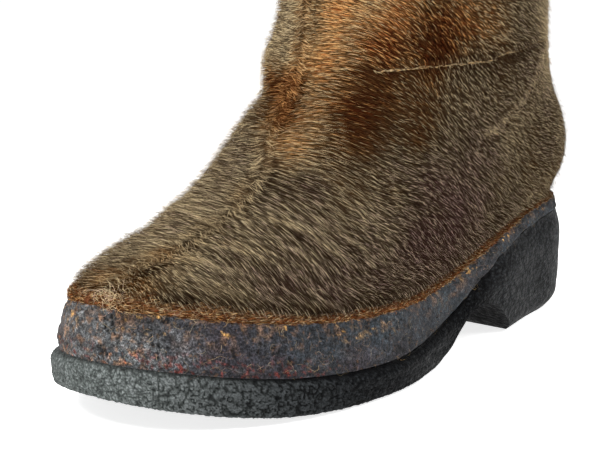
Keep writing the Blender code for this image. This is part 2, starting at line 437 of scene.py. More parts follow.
# %% Finish helpers
def finish(name, roughness, shine=0.05):
    """A new material with its node tree and Principled shader. Dull fibres have next to no mirror shine."""
    made = bpy.data.materials.new(name)
    made.use_nodes = True
    shader = made.node_tree.nodes["Principled BSDF"]
    shader.inputs["Roughness"].default_value = roughness
    shader.inputs["Specular IOR Level"].default_value = shine
    return made, made.node_tree, shader


def grain(tree, size, detail=2.0, rough=0.5):
    """Noise of this size in millimetres on the piece's own coordinates."""
    place = node(tree, "TexCoord").outputs["Object"]
    scale = 1.0 / (size * MM)
    made = node(tree, "TexNoise", {"Vector": place, "Scale": scale, "Detail": detail, "Roughness": rough})
    return made.outputs[0]


def bumps(tree, shader, height, distance, strength=1.0):
    """Small relief by tilting the surface's normal: distance is in millimetres."""
    made = node(tree, "Bump", {"Height": height, "Distance": distance * MM, "Strength": strength})
    tree.links.new(made.outputs["Normal"], shader.inputs["Normal"])


print("finish helpers ready")

# %% [markdown]
# ## Outline of the sole
# Sole and felt share one outline, seen from above. It is a middle line with a half width on each
# side, and both ends are rounded by a superellipse. Points run round it as a ring, from the heel by
# the outer side to the toe and back. Moving the ring along its own normals gives every inner level.
# A traced curve could serve as well, but it couldn't be moved in so evenly.

# %% Sole sizes and outline
SOLE_LENGTH = 300.0
SOLE_BACK_X = -150.0
TOE_SPRING = 12.0
SPRING_START = 0.72
SEAT_GAP = 0.3
SOLE = table(
    "share centre half rubber_top felt_top",
    (0.00, -4.5, 31.0, 48.0, 55.0),
    (0.16, -3.0, 34.0, 46.0, 52.0),
    (0.32, 3.5, 37.0, 37.5, 44.5),
    (0.48, 3.5, 41.0, 18.0, 31.0),
    (0.64, 2.5, 52.5, 13.0, 30.5),
    (0.80, -2.0, 53.0, 15.0, 34.0),
    (1.00, -6.0, 43.5, 25.0, 44.5),
)
SOLE_ROUNDS = dict(heel=0.16, toe=0.26, power=2.3)


def rounded_ends(share, heel, toe, power):
    """1 along the middle, falling to 0 at both ends along a superellipse."""
    behind = np.clip(1.0 - share / heel, 0.0, 1.0)
    before = np.clip(1.0 - (1.0 - share) / toe, 0.0, 1.0)
    return ((1.0 - behind**power) * (1.0 - before**power)) ** (1.0 / power)


def ring_shares(columns):
    """Share of the length and side, +1 outer and -1 inner, of each column of a ring."""
    turn = np.arange(columns) * 2.0 * math.pi / columns
    return (1.0 - np.cos(turn)) / 2.0, np.sign(np.round(np.sin(turn), 9))


def sole_of(share, column):
    """One column of the sole's table at shares of its length, along the smooth curve."""
    return curve(share, SOLE["share"], SOLE[column])


def share_of(x):
    """How far along the sole a place lies, from 0 at the heel to 1 at the toe."""
    return np.clip((x - SOLE_BACK_X) / SOLE_LENGTH, 0.0, 1.0)


def sole_ring(columns, inset):
    """The outline in plan, each point moved in by its inset along the outline's normal."""
    share, side = ring_shares(columns)
    half = sole_of(share, "half") * rounded_ends(share, **SOLE_ROUNDS)
    x = SOLE_BACK_X + SOLE_LENGTH * share
    y = sole_of(share, "centre") + side * half
    ahead = np.stack([np.roll(x, -1) - np.roll(x, 1), np.roll(y, -1) - np.roll(y, 1)])
    ahead /= np.linalg.norm(ahead, axis=0)
    return x + ahead[1] * inset, y - ahead[0] * inset


def across(ring, columns):
    """Grid that closes a ring: straight lines from each outer point to the inner point beside it."""
    half = len(ring) // 2
    outer = ring[: half + 1]
    inner = np.concatenate([ring[:1], ring[: half - 1 : -1]])
    t = np.linspace(0.0, 1.0, columns)[None, :, None]
    return outer[:, None] * (1.0 - t) + inner[:, None] * t


print("outline", round(float(np.ptp(sole_ring(400, 0.0)[0])), 1), "mm long")

# %% [markdown]
# ## Rubber sole
# The unit is moulded in one shot: a low rand round the forefoot, a tunnel under the waist and a tall
# block heel. Its wall could be the outline pulled straight up, but a moulded wall bulges and rolls in at
# both edges. So a profile of insets is carried round the outline, from the tunnel's roof to the top.

# %% Rubber wall
RUBBER_COLUMNS = 1400
RUBBER_ROWS = 36
RUBBER_SIDE = table(
    "inset height", (5.0, 0.0), (2.0, 0.07), (0.4, 0.24), (0.0, 0.5), (0.6, 0.88), (2.4, 1.0)
)
ARCH = table(
    "x z",
    (-70.0, -2.0),
    (-62.0, 3.0),
    (-55.0, 9.0),
    (-46.0, 15.5),
    (-36.0, 18.5),
    (-27.0, 18.6),
    (-19.5, 16.3),
    (-13.0, 12.0),
    (-5.5, 6.8),
    (4.5, 3.0),
    (20.0, -1.0),
)
ROWS_TO_FLOOR = 1.15


def tread_z(x):
    """Underside: flat, rising to the toe along a parabola."""
    return TOE_SPRING * np.clip((share_of(x) - SPRING_START) / (1.0 - SPRING_START), 0.0, 1.0) ** 2


def under_z(x):
    """The higher of the tread and the tunnel's roof."""
    return np.maximum(tread_z(x), curve(x, ARCH["x"], ARCH["z"]))


def rubber_wall():
    """Side wall on the outline: height climbs from under_z to the rubber's top, with the rows closer near
    the floor, and each point is inset by the profile at its height."""
    share, _ = ring_shares(RUBBER_COLUMNS)
    x = SOLE_BACK_X + SOLE_LENGTH * share
    floor_z, low, top = tread_z(x), under_z(x), sole_of(share, "rubber_top")
    rise = np.linspace(0.0, 1.0, RUBBER_ROWS)[:, None] ** ROWS_TO_FLOOR
    z = low + (top - low) * rise
    inset = curve((z - floor_z) / (top - floor_z), RUBBER_SIDE["height"], RUBBER_SIDE["inset"])
    px, py = sole_ring(RUBBER_COLUMNS, inset)
    return np.stack([px, py, z], axis=-1), rise


wall, wall_rise = rubber_wall()
print("rubber wall", wall.shape[:2], "up to", wall[..., 2].max().round(1), "mm")

# %% [markdown]
# The rand has a skin of worm-like ridges, strongest by the toe. Bump alone would look painted on at the
# edge, so they are real relief. A ridge is where a warped soft noise stays away from zero, and a groove
# is where it crosses zero. Small cells add a crumb. The heel's wall stays smooth here: its pebbles are
# smaller still, and come with the finish.

# %% Relief of the rand
WORM_HEIGHT = 0.50
WORM_SIZE = 1.4
WORM_WARP = (2.2, 0.9)
WORMS_AT = 112.0
WORMS_REACH = 34.0
CRUMB_HEIGHT = 0.25
PEBBLE = 1.3
HEEL_TO_WAIST = (-45.0, -20.0)
WALL_SINK = 0.12


def worms(points):
    """Curling ridges: the S-curve of a soft noise's distance from zero, at points moved by three more
    noises. It is 1 on the ridges and 0 in the thin grooves between."""
    size, reach = WORM_WARP
    warp = np.stack([soft_noise(points, size, seed) for seed in (11, 12, 13)], axis=-1)
    return step(0.04, 0.32, np.abs(soft_noise(points + reach * warp, WORM_SIZE, 14)))


worm_zone = bell(wall[..., 0] - WORMS_AT, WORMS_REACH) * step(-30.0, 30.0, wall[..., 1])
heel_zone = 1.0 - step(*HEEL_TO_WAIST, wall[..., 0])
nearest, second = cell_noise(wall, PEBBLE, 21)
crumb = step(0.02, 0.4, second - nearest)
fade = step(0.0, 0.08, wall_rise) * (1.0 - step(0.90, 1.0, wall_rise))
rubber_relief = worms(wall) * WORM_HEIGHT * (0.35 + 0.65 * worm_zone) + crumb * CRUMB_HEIGHT
rubber_relief = rubber_relief * fade * (1.0 - heel_zone)
wall = wall + normals_of(wall) * (rubber_relief - WALL_SINK * fade)[..., None]
print(f"wall relief up to {rubber_relief.max():.2f} mm")

# %% [markdown]
# The photograph doesn't show the tread, so it is plain: bars across the forefoot and the heel, bent back
# at the sides, and none in the tunnel. The underside is a grid across the wall's lowest ring, and it is
# raised into a groove wherever a sine along the boot comes near zero.

# %% Tread
TREAD_COLUMNS = 21
TREAD_BAR = 11.0
TREAD_BEND = 0.16
TREAD_DEPTH = 1.7
ARCH_MIDDLE = -28.0
ARCH_HALF = 42.0

bottom = across(wall[0], TREAD_COLUMNS)
bent_x = bottom[..., 0] + TREAD_BEND * np.abs(bottom[..., 1])
bar = step(0.2, 0.75, np.abs(np.sin(math.pi * bent_x / TREAD_BAR)))
off_middle = np.linspace(-1.0, 1.0, TREAD_COLUMNS) ** 2
past_arch = np.minimum(np.abs(bottom[..., 0] - ARCH_MIDDLE) - ARCH_HALF, 20.0)
treaded = step(0.5, 4.0, past_arch) * step(0.0, 0.2, 1.0 - off_middle)
bottom[..., 2] += (1.0 - bar) * treaded * TREAD_DEPTH
print(f"tread {TREAD_DEPTH} mm deep, a bar every {TREAD_BAR} mm")

# %% [markdown]
# The rubber is a dull grey-black, a little green and blue, and paler towards the toe. Its ridges are paler
# and its grooves darker, partly dust on the ridges and partly painted shade in the grooves. The relief is
# kept as a value on each point, so this follows the ridges exactly, and the roof of the tunnel under the
# waist gets the lowest value: painted shade, nearly black. The heel's pebbles are the cells of a Voronoi
# texture, as colour and as bump, longer along the wall than up it; as colour, each pebble is painted bright
# in its middle as a highlight and dark at its border as shade.

# %% Rubber finish
PEBBLE_STRETCH = (0.5, 0.5, 1.0)
TOEWARD_POWER = 6.5
HEEL_RAISED = 0.55
TREAD_RAISED = 0.4
LID_RAISED = 0.2

rubber_look, tree, shader = finish("rubber", 0.62, 0.03)
raised = node(tree, "Attribute", attribute_name="raised").outputs["Fac"]
on_sole = node(tree, "TexCoord").outputs["Object"]
toe = node(tree, "SeparateXYZ", {0: on_sole}).outputs["X"]
forward = node(tree, "MapRange", {0: toe, 1: 0.0, 2: 0.152, 3: 0.0, 4: 1.0}).outputs[0]
toeward = node(tree, "Math", {0: forward, 1: TOEWARD_POWER}, operation="POWER").outputs[0]
# Both ramps run from painted shade at 0, in the grooves and on the tunnel's roof, to the paler ridges at 1;
# the second is used towards the toe.
main_stops = ((0.0, paint(2, 2, 3)), (0.45, paint(14, 15, 16)), (1.0, paint(38, 40, 42)))
toe_stops = ((0.0, paint(48, 51, 50)), (0.45, paint(82, 87, 85)), (1.0, paint(126, 131, 130)))
rubber_dust_and_shade = mixed(tree, toeward, ramp(tree, raised, *main_stops), ramp(tree, raised, *toe_stops))
stretched = node(tree, "VectorMath", {0: on_sole, 1: PEBBLE_STRETCH}, operation="MULTIPLY").outputs[0]
cells = node(tree, "TexVoronoi", {"Vector": stretched, "Scale": 1.0 / (PEBBLE * MM)}).outputs["Distance"]
# Painted highlight in the middle of each heel pebble, and painted shade at its border.
pebble_highlight_and_shade = ramp(tree, cells, (0.15, grey(2.4)), (0.40, grey(0.8)), (0.60, grey(0.2)))
blotch = ramp(tree, grain(tree, 0.7, 3.0), (0.34, grey(0.50)), (0.5, grey(0.90)), (0.66, grey(1.40)))
on_heel = node(tree, "MapRange", {0: toe, 1: -0.03, 2: 0.01, 3: 1.0, 4: 0.0}).outputs[0]
coloured = mixed(tree, 1.0, rubber_dust_and_shade, mixed(tree, on_heel, blotch, pebble_highlight_and_shade), "MULTIPLY")
tree.links.new(coloured, shader.inputs["Base Color"])
dull = ramp(tree, grain(tree, 3.0), (0.3, grey(0.38)), (0.7, grey(0.65)))
tree.links.new(dull, shader.inputs["Roughness"])
pebbled = node(tree, "Math", {0: grain(tree, 0.6, 3.0), 1: cells}, operation="SUBTRACT").outputs[0]
bumps(tree, shader, pebbled, 0.5)

top_lid = across(wall[-1], 2)
on_ridge = np.clip(rubber_relief / (WORM_HEIGHT + CRUMB_HEIGHT) * 1.25, 0.0, 1.0)
# The relief's value on the wall, a level on the heel and the tread, and none in the tunnel under the waist,
# whose roof is painted nearly black as shade.
raised_values = np.concatenate([
    (on_ridge + (HEEL_RAISED - on_ridge) * heel_zone).ravel(),
    TREAD_RAISED * treaded.ravel(),
    np.full(top_lid.shape[0] * top_lid.shape[1], LID_RAISED),
])
rubber = sew(
    "rubber_unit",
    [
        patch(wall, ring=True, strips=6, low=0.0, high=0.72),
        patch(bottom, flip=True, low=0.73, high=0.93),
        patch(top_lid, low=0.94, high=1.0),
    ],
    rubber_look,
    {"raised": raised_values},
)
seat(rubber, "rubber", "rubber_sole")

# %% [markdown]
# ## Felt midsole
# The midsole is a thick layer of pressed wool felt, old and matted. Its wall leans in as it climbs
# and is pitted where tufts have pulled out. Lumps at three sizes give the swollen, uneven wall, and
# the pits are cells whose seed point sits close to the surface.
# Bump alone would leave the outline as straight as a ruler, so both are real relief.

# %% Felt wall
FELT_COLUMNS = 1040
FELT_ROWS = 26
FELT_SIDE = table("inset height", (2.6, 0.0), (1.8, 0.12), (1.6, 0.40), (1.8, 0.80), (2.8, 1.0))
FELT_LEAN = 0.20
LUMPS = ((10.0, 0.60), (4.2, 0.45), (1.7, 0.45))
PIT_SIZE = 2.2
PIT_DEPTH = 0.9


def felt_inset(share, height):
    """How far the felt's wall lies inside the outline at a share of its height."""
    lean = (sole_of(share, "felt_top") - sole_of(share, "rubber_top")) * FELT_LEAN
    return curve(height, FELT_SIDE["height"], FELT_SIDE["inset"]) + lean * height


def felt_wall():
    """Side wall between the rubber's top and the felt's top."""
    share, _ = ring_shares(FELT_COLUMNS)
    height = np.linspace(0.0, 1.0, FELT_ROWS)[:, None] * np.ones(FELT_COLUMNS)
    px, py = sole_ring(FELT_COLUMNS, felt_inset(share, height))
    bottom_z = sole_of(share_of(px), "rubber_top") + SEAT_GAP
    z = bottom_z + (sole_of(share_of(px), "felt_top") - bottom_z) * height
    return np.stack([px, py, z], axis=-1), height


felt, felt_height = felt_wall()
swell = sum(depth * soft_noise(felt, size, 30 + i) for i, (size, depth) in enumerate(LUMPS))
tuft_gap, _ = cell_noise(felt, PIT_SIZE, 41)
pits = (1.0 - step(0.14, 0.42, tuft_gap)) * step(-0.3, 0.3, soft_noise(felt, 7.0, 44))
inner_wall = step(0.0, 0.12, felt_height) * (1.0 - step(0.9, 1.0, felt_height))
felt_relief = (swell - PIT_DEPTH * pits) * (0.25 + 0.75 * inner_wall)
felt = felt + normals_of(felt) * felt_relief[..., None]
print(f"felt relief {felt_relief.min():.2f} to {felt_relief.max():.2f} mm")

# %% [markdown]
# Years of use have left stains on the felt: blue-grey and plum on the side, rust-red along the lower edge by
# the toe and ochre flecks under the fur, and the toe turns a paler grey. A picture could be painted for that,
# but stains that are worked out for each point follow the lumps and pits. The list also paints light and
# shade: the pits and hollows near black as painted shade, and the crests of the lumps paler as painted light.
# Each one in the list pulls the colour towards its own by a weight.

# %% Felt stains and painted shade
FELT_GREY = paint(33, 33, 37)
LID_GREY = paint(60, 58, 60)


def stained_and_shaded(base, colour, weight):
    """Base colours moved towards one colour by a weight."""
    return base + (np.array(colour[:3]) - base) * np.clip(weight, 0.0, 1.0)[..., None]


felt_x = felt[..., 0]
cloudy = soft_noise(felt, 14.0, 50)
fine = soft_noise(felt, 1.8, 51)
plum = (0.75 * soft_noise(felt, 17.0, 52) + 0.15) * step(20.0, 60.0, felt_x)
toe_pale = 0.52 * step(116.0, 152.0, felt_x + 9.0 * cloudy) * step(-1.2, 0.6, fine)
low_rust = (1.0 - step(0.05, 0.5, felt_height)) * step(0.25, 0.6, soft_noise(felt, 1.1, 57))
low_rust = low_rust * step(60.0, 100.0, felt_x)
brown = 0.34 * step(0.2, 0.6, soft_noise(felt, 2.4, 53)) * step(0.3, 0.9, felt_height)
by_toe = 0.4 * step(0.25, 0.5, soft_noise(felt, 1.5, 56)) * step(136.0, 142.0, felt_x)
flecks = step(0.40, 0.6, soft_noise(felt, 1.4, 55)) * step(0.45, 0.95, felt_height)
flecks = flecks * step(-0.1, 0.4, soft_noise(felt, 12.0, 54))
FELT_STAINS_AND_SHADE = (
    (paint(38, 46, 52), 0.55 + 0.7 * cloudy),
    (paint(46, 34, 39), plum),
    (paint(114, 115, 114), toe_pale),
    (paint(92, 30, 18), 0.9 * low_rust),
    (paint(126, 90, 58), brown),
    (paint(150, 104, 62), by_toe),
    (paint(186, 142, 78), flecks),
    # Painted shade: pits and hollows near black. Painted light: the crests of the lumps paler.
    (paint(9, 8, 9), 0.95 * pits + 0.6 * step(0.1, 0.9, -felt_relief)),
    (paint(112, 108, 104), 0.18 * step(0.25, 0.9, felt_relief)),
)
felt_tint = np.broadcast_to(np.array(FELT_GREY[:3]), felt.shape)
for colour, weight in FELT_STAINS_AND_SHADE:
    felt_tint = stained_and_shaded(felt_tint, colour, weight)
print(len(FELT_STAINS_AND_SHADE), "stains, mean colour", felt_tint.mean(axis=(0, 1)).round(3))

# %% [markdown]
# The nodes add what is finer than the mesh: the specks of single fibres, a mottle of matted tufts and a few
# rusty crumbs, multiplied into the stains and the painted shade. A little sheen gives the soft edge of wool.

# %% Felt finish
def with_alpha(colours):
    """Colours with a fourth column of ones, as a colour layer wants them."""
    return np.column_stack([colours, np.ones(len(colours))])


felt_look, tree, shader = finish("matted_felt", 0.95)
tint = node(tree, "Attribute", attribute_name="stain").outputs["Color"]
specks = ramp(tree, grain(tree, 0.8, 4.0, 0.75), (0.36, grey(0.10)), (0.5, grey(0.70)), (0.64, grey(2.3)))
mottled = ramp(tree, grain(tree, 2.6, 3.0, 0.6), (0.36, grey(0.6)), (0.5, grey(1.0)), (0.64, grey(1.6)))
coloured = mixed(tree, 1.0, mixed(tree, 1.0, tint, specks, "MULTIPLY"), mottled, "MULTIPLY")
crumbs = ramp(tree, grain(tree, 1.8, 4.0), (0.60, grey(0.0)), (0.70, grey(0.38)))
coloured = mixed(tree, crumbs, coloured, paint(112, 80, 52))
tree.links.new(coloured, shader.inputs["Base Color"])
shader.inputs["Sheen Weight"].default_value = 0.08
shader.inputs["Sheen Roughness"].default_value = 0.6
bumps(tree, shader, grain(tree, 0.9, 4.0, 0.7), 1.0)

felt_lids = [across(felt[-1], 2), across(felt[0], 2)]
lid_points = sum(lid.shape[0] * lid.shape[1] for lid in felt_lids)
point_tints = np.concatenate([felt_tint.reshape(-1, 3), np.tile(LID_GREY[:3], (lid_points, 1))])
midsole = sew(
    "felt_layer",
    [
        patch(felt, ring=True, strips=5, low=0.0, high=0.9),
        patch(felt_lids[0], low=0.91, high=0.95),
        patch(felt_lids[1], flip=True, low=0.96, high=1.0),
    ],
    felt_look,
    {"stain": with_alpha(point_tints)},
)
seat(midsole, "felt", "felt_midsole")

# %% [markdown]
# ## Form of the upper
# Vamp and shaft are rings again, from the felt's edge to the collar. Each row of the table is one
# ring: its back and front points, its half widths, how round its ends are, and how much of the
# felt's dip at the waist it still follows. The curve through the rows gives any number of levels.
# Sculpting could give the form too, but rings can be measured and changed row by row.

# %% Rings of the upper
UPPER_COLUMNS = 320
UPPER_LEVELS = 110
COLLAR_Z = 288.0
LIP_HEIGHT = 5.0
FEATHER_INSET = 0.5
WIDTH_SHARES = (0.0, 0.2, 0.5, 0.78, 1.0)
UPPER_SWING_POWER = 1.5
UPPER = table(
    "back_x back_y back_z front_x front_y front_z heel mid fore heel_round toe_round dip",
    (-149.0, -3.0, 71.0, 131.0, -10.0, 54.0, 36.0, 43.0, 45.5, 0.20, 0.28, 0.85),
    (-150.0, -3.0, 81.0, 108.0, -11.5, 61.0, 38.0, 44.0, 43.0, 0.22, 0.32, 0.65),
    (-147.5, -3.0, 90.0, 82.0, -11.0, 74.0, 39.0, 45.0, 42.0, 0.24, 0.36, 0.42),
    (-141.0, -3.0, 100.0, 64.0, -9.0, 89.5, 40.5, 46.5, 43.0, 0.28, 0.42, 0.20),
    (-134.0, -3.0, 110.0, 53.0, -6.0, 101.5, 43.0, 48.5, 44.0, 0.35, 0.46, 0.05),
    (-128.0, -3.0, 119.0, 44.0, -4.0, 108.5, 47.5, 50.0, 46.0, 0.44, 0.50, 0.00),
    (-123.5, -2.5, 128.0, 42.5, -3.5, 117.0, 50.5, 51.8, 48.0, 0.50, 0.50, 0.00),
    (-115.5, -2.0, 148.0, 33.5, -2.5, 144.0, 51.0, 52.0, 48.5, 0.50, 0.50, 0.00),
    (-110.5, -1.0, 180.0, 31.5, -1.0, 180.0, 51.5, 52.5, 49.5, 0.50, 0.50, 0.00),
    (-110.5, 0.0, 225.0, 33.5, 0.0, 225.0, 53.0, 54.0, 51.0, 0.50, 0.50, 0.00),
    (-113.5, 0.0, COLLAR_Z, 37.0, 0.0, COLLAR_Z, 56.5, 57.5, 54.5, 0.50, 0.50, 0.00),
)


def upper_ring(columns, row):
    """One ring: x by share from back to front, y a swung middle line with half widths, and z a straight
    line with a share of the felt's dip."""
    share, side = ring_shares(columns)
    widths = (row["heel"], row["heel"], row["mid"], row["fore"], row["fore"])
    ends = rounded_ends(share, row["heel_round"], row["toe_round"], 2.0)
    half = curve(share, WIDTH_SHARES, widths) * ends
    x = row["back_x"] + (row["front_x"] - row["back_x"]) * share
    swing = (row["front_y"] - row["back_y"]) * share**UPPER_SWING_POWER
    felt_top = sole_of(share, "felt_top")
    dip = felt_top - (felt_top[0] + (SOLE["felt_top"][-1] - felt_top[0]) * share)
    z = row["back_z"] + (row["front_z"] - row["back_z"]) * share + row["dip"] * dip
    return np.column_stack([x, row["back_y"] + swing + side * half, z])


def upper_surface(columns, levels):
    """The fur's mean face as a grid: a smooth curve through the rings, at even steps of the mean chord."""
    share, _ = ring_shares(columns)
    keys = []
    for inset, rise in ((FEATHER_INSET, SEAT_GAP), (0.0, LIP_HEIGHT)):
        px, py = sole_ring(columns, felt_inset(share, np.ones(columns)) + inset)
        keys.append(np.column_stack([px, py, sole_of(share_of(px), "felt_top") + rise]))
    for index in range(len(UPPER["back_x"])):
        keys.append(upper_ring(columns, {name: values[index] for name, values in UPPER.items()}))
    keys = np.array(keys)
    chords = np.linalg.norm(np.diff(keys, axis=0), axis=2).mean(axis=1)
    places = np.concatenate([[0.0], np.cumsum(chords)])
    even = np.linspace(places[1], places[-1], levels - 4)
    return curve(np.concatenate([np.linspace(0.0, places[1], 4, endpoint=False), even]), places, keys)


fur_face = upper_surface(UPPER_COLUMNS, UPPER_LEVELS)
fur_normals = normals_of(fur_face)
print("fur face", fur_face.shape[:2], "up to", fur_face[..., 2].max().round(1), "mm")

# %% [markdown]
# ## Creases and seams
# The shaft has slumped a little on the ankle: a sharp fold runs round the outer side, a second one comes down
# behind the ankle, and low waves cross the vamp where the foot bends. A sewn seam runs down the middle of the
# front, another down the back. Cloth simulation would fold the hide somewhere else, so each one is a line
# given in millimetres.

# %% Hand-placed lines
LINES = {
    "ankle_fold": [(26.5, 24.5, 120.5), (22, 28, 120.5), (16.2, 31.5, 120.6), (6.4, 36.5, 121),
                   (-4.7, 40.8, 121.4), (-14.2, 44.1, 121.9), (-24.6, 46.9, 123.3), (-36.7, 48.9, 125.6),
                   (-61.9, 47.4, 129.8), (-75, 43.7, 131.4)],
    "heel_fold": [(-30, 41, 91.6), (-37, 41.4, 92), (-45.8, 42, 95.2), (-56.8, 42.6, 101.5),
                  (-64, 43.5, 108), (-68, 44.5, 116), (-73, 44, 124)],
    "inner_fold": [(30, -26, 118), (8, -40, 115), (-18, -50, 117), (-48, -51, 122), (-74, -47, 127)],
    "vamp_arc": [(103, 2.7, 60.8), (97.3, 13.8, 58.4), (88, 23.3, 55), (82.8, 31.5, 49.5),
                 (79.6, 38.3, 44.8), (78.9, 45, 38.6)],
    "toe_arc": [(125, 2.4, 54.3), (115, 5.2, 56.3), (108, 14.4, 55), (104, 22.7, 51.7)],
    "ball_arc": [(74, 16.7, 66), (63, 27, 59.5), (56.4, 33, 53), (50.5, 37, 47)],
    "side_arc": [(51, 30, 60), (44, 34.5, 54), (37.8, 38, 45.6)],
    "low_arc": [(72, 28, 55), (69, 32.3, 51), (65, 37, 46)],
    "instep_fold": [(65, 3.7, 84), (62.3, 8.3, 83.3), (59.4, 12.3, 82), (52, 20, 79)],
    "instep_crease": [(44, 27, 70), (34, 31, 66.7), (24.6, 34, 64.3), (5, 37, 58)],
    "inner_crease": [(98, -20, 58), (86, -32, 54), (72, -38, 50)],
    "notch": [(41, -16.5, 109.5), (45.3, -12.4, 106.2), (49.8, -8.2, 103.5), (53.5, -4.4, 100.8),
              (56, -2, 98)],
    "front_seam": [(34, -1, 287), (32, -2, 230), (31.5, -3, 180), (33, -3.5, 147), (36.5, -1.6, 133),
                   (40.5, -0.3, 121), (43, -2.6, 112.5), (46, -4, 107), (52, -1.6, 101.5), (58, -1.2, 95),
                   (63, 2, 87), (68, 3.8, 81), (76.3, 3.6, 74), (87, 3.4, 67.8), (98, 2.8, 62.8),
                   (110.7, 1.4, 58.5), (123, -0.6, 55.6), (133, -1, 53), (139.5, 1.5, 50)],
    "back_seam": [(-113.5, 0, 287), (-110.5, 0, 220), (-112, -2, 170), (-123, -2.5, 130), (-141, -3, 100),
                  (-149, -3, 72)],
}
print(len(LINES), "lines through", sum(len(points) for points in LINES.values()), "points")

# %% [markdown]
# A given point never lies exactly on the surface. So each line is smoothed, moved to the nearest points of
# the fur's face, and evened out. What lies beside a line is then told by its distance.

# %% Lines on the fur's face
STEPS_A_POINT = 7
EVENINGS = 4


def smooth_line(points, count):
    """A smooth curve through given points, with even parameter steps."""
    points = np.array(points, float)
    return curve(np.linspace(0.0, len(points) - 1.0, count), np.arange(len(points)), points)


def beside(points, line):
    """Distance from each point to a line, and how far the point lies above it."""
    gaps = np.full(points.shape[:-1], 1e9)
    above = np.zeros(points.shape[:-1])
    for start, end in zip(line[:-1], line[1:]):
        way = end - start
        t = np.clip((points - start) @ way / max(way @ way, 1e-9), 0.0, 1.0)
        off = points - (start + t[..., None] * way)
        gap = np.linalg.norm(off, axis=-1)
        above = np.where(gap < gaps, off[..., 2], above)
        gaps = np.minimum(gaps, gap)
    return gaps, above


def laid_on(points, surface):
    """Each point moved to the nearest grid point of a surface, then evened out along the line: each point
    becomes the mean of itself, twice, and its two neighbours."""
    flat = surface.reshape(-1, 3)
    away = np.linalg.norm(points[:, None] - flat[None], axis=-1)
    found = flat[away.argmin(axis=1)]
    for _ in range(EVENINGS):
        found[1:-1] = (found[:-2] + 2.0 * found[1:-1] + found[2:]) / 4.0
    return found


drawn = {}
for name, points in LINES.items():
    drawn[name] = laid_on(smooth_line(points, STEPS_A_POINT * len(points)), fur_face)
seam_length = np.linalg.norm(np.diff(drawn["front_seam"], axis=0), axis=1).sum()
print(f"front seam {seam_length:.0f} mm long")

# %% [markdown]
# The surface sinks along a crease as a soft trough, and swells just above it as a ridge, where the hide
# hangs over the fold. A negative depth makes a wave that stands up. Dents are round pushes in or out,
# and soft noise adds the slack of worn hide.

# %% Creases, dents and slack
CREASES = {
    "ankle_fold": (1.2, 1.6, 1.2),
    "heel_fold": (1.0, 2.2, 0.8),
    "inner_fold": (1.0, 3.4, 1.2),
    "vamp_arc": (-1.3, 2.4, 0.0),
    "toe_arc": (-1.0, 2.6, 0.0),
    "ball_arc": (-1.1, 2.4, 0.0),
    "side_arc": (-0.9, 2.4, 0.0),
    "low_arc": (-0.9, 2.4, 0.0),
    "instep_fold": (0.8, 1.6, 0.5),
    "instep_crease": (1.2, 5.0, 0.7),
    "inner_crease": (1.0, 5.0, 0.6),
    "notch": (1.5, 2.2, 0.0),
    "front_seam": (0.2, 1.6, 0.0),
    "back_seam": (0.5, 2.0, 0.0),
}
CREASE_TAIL = 12.0
DENTS = table(
    "x y z reach push",
    (30.0, -26.0, 150.0, 16.0, -2.2),
    (126.0, -24.0, 55.0, 18.0, -2.0),
    (42.0, -16.0, 117.0, 10.0, 2.6),
    (-146.0, 12.0, 64.0, 12.0, 1.8),
    (-146.0, -16.0, 64.0, 12.0, 1.8),
)
SLACK_FROM = 52.0

sunk = np.zeros(fur_face.shape[:2])
for name, (depth, width, lift) in CREASES.items():
    line = drawn[name]
    gap, above = beside(fur_face, line)
    to_ends = [np.linalg.norm(fur_face - end, axis=-1) for end in (line[0], line[-1])]
    tail = step(0.0, CREASE_TAIL, np.minimum(*to_ends))
    trough = -depth * bell(gap, width)
    ridge = lift * bell(gap - 2.2 * width, 1.5 * width) * step(-1.0, 2.0, above)
    sunk += (trough + ridge) * (0.25 + 0.75 * tail)
for x, y, z, reach, push in zip(*DENTS.values()):
    sunk += push * np.exp(-np.sum((fur_face - (x, y, z)) ** 2, axis=-1) / reach**2)
slack = 0.9 * soft_noise(fur_face, 38.0, 60) + 0.5 * soft_noise(fur_face, 17.0, 61)
slack = slack * step(0.0, 14.0, fur_face[..., 2] - SLACK_FROM)
fur_form = fur_face + fur_normals * (sunk + slack)[..., None]
print("creases sink", sunk.min().round(1), "and lift", sunk.max().round(1), "mm")

# %% [markdown]
# ## Hide and lining
# Under the hair lies the hide, a little inside the fur's face, and inside it a wool lining. The lining
# can be seen down the shaft: a matted wool pile in undyed grey-beige. It could be hair too, but so deep
# in the shaft soft relief and sheen are enough. The hide is covered later, when the coat is known.

# %% Hide form and wool lining
FUR_DEPTH = 2.6
WALL = 5.0
BINDING_DROP = 9.0
LINING_COLUMNS = 180
SHAFT_LEVELS = 60
UNDER_BINDING = 1.4

hide = fur_form - normals_of(fur_form) * FUR_DEPTH

lining_face = upper_surface(LINING_COLUMNS, SHAFT_LEVELS)
tufts = 0.45 * soft_noise(lining_face, 6.0, 70) + 0.35 * soft_noise(lining_face, 3.4, 71)
bound = step(COLLAR_Z - BINDING_DROP - 2.0, COLLAR_Z - BINDING_DROP + 2.0, lining_face[..., 2])
lining_depth = WALL + tufts * (1.0 - bound) - UNDER_BINDING * bound
lining = lining_face - normals_of(lining_face) * lining_depth[..., None]
lining_look, tree, shader = finish("wool_lining", 0.95)
wool_stops = ((0.25, paint(118, 106, 88)), (0.5, paint(158, 146, 124)), (0.8, paint(188, 178, 158)))
tree.links.new(ramp(tree, grain(tree, 5.0, 5.0), *wool_stops), shader.inputs["Base Color"])
shader.inputs["Sheen Weight"].default_value = 0.4
bumps(tree, shader, grain(tree, 1.3, 5.0), 1.2)
lining_piece = sew("wool_lining", [patch(lining, ring=True, flip=True, strips=2)], lining_look)
seat(lining_piece, "insole_felt")

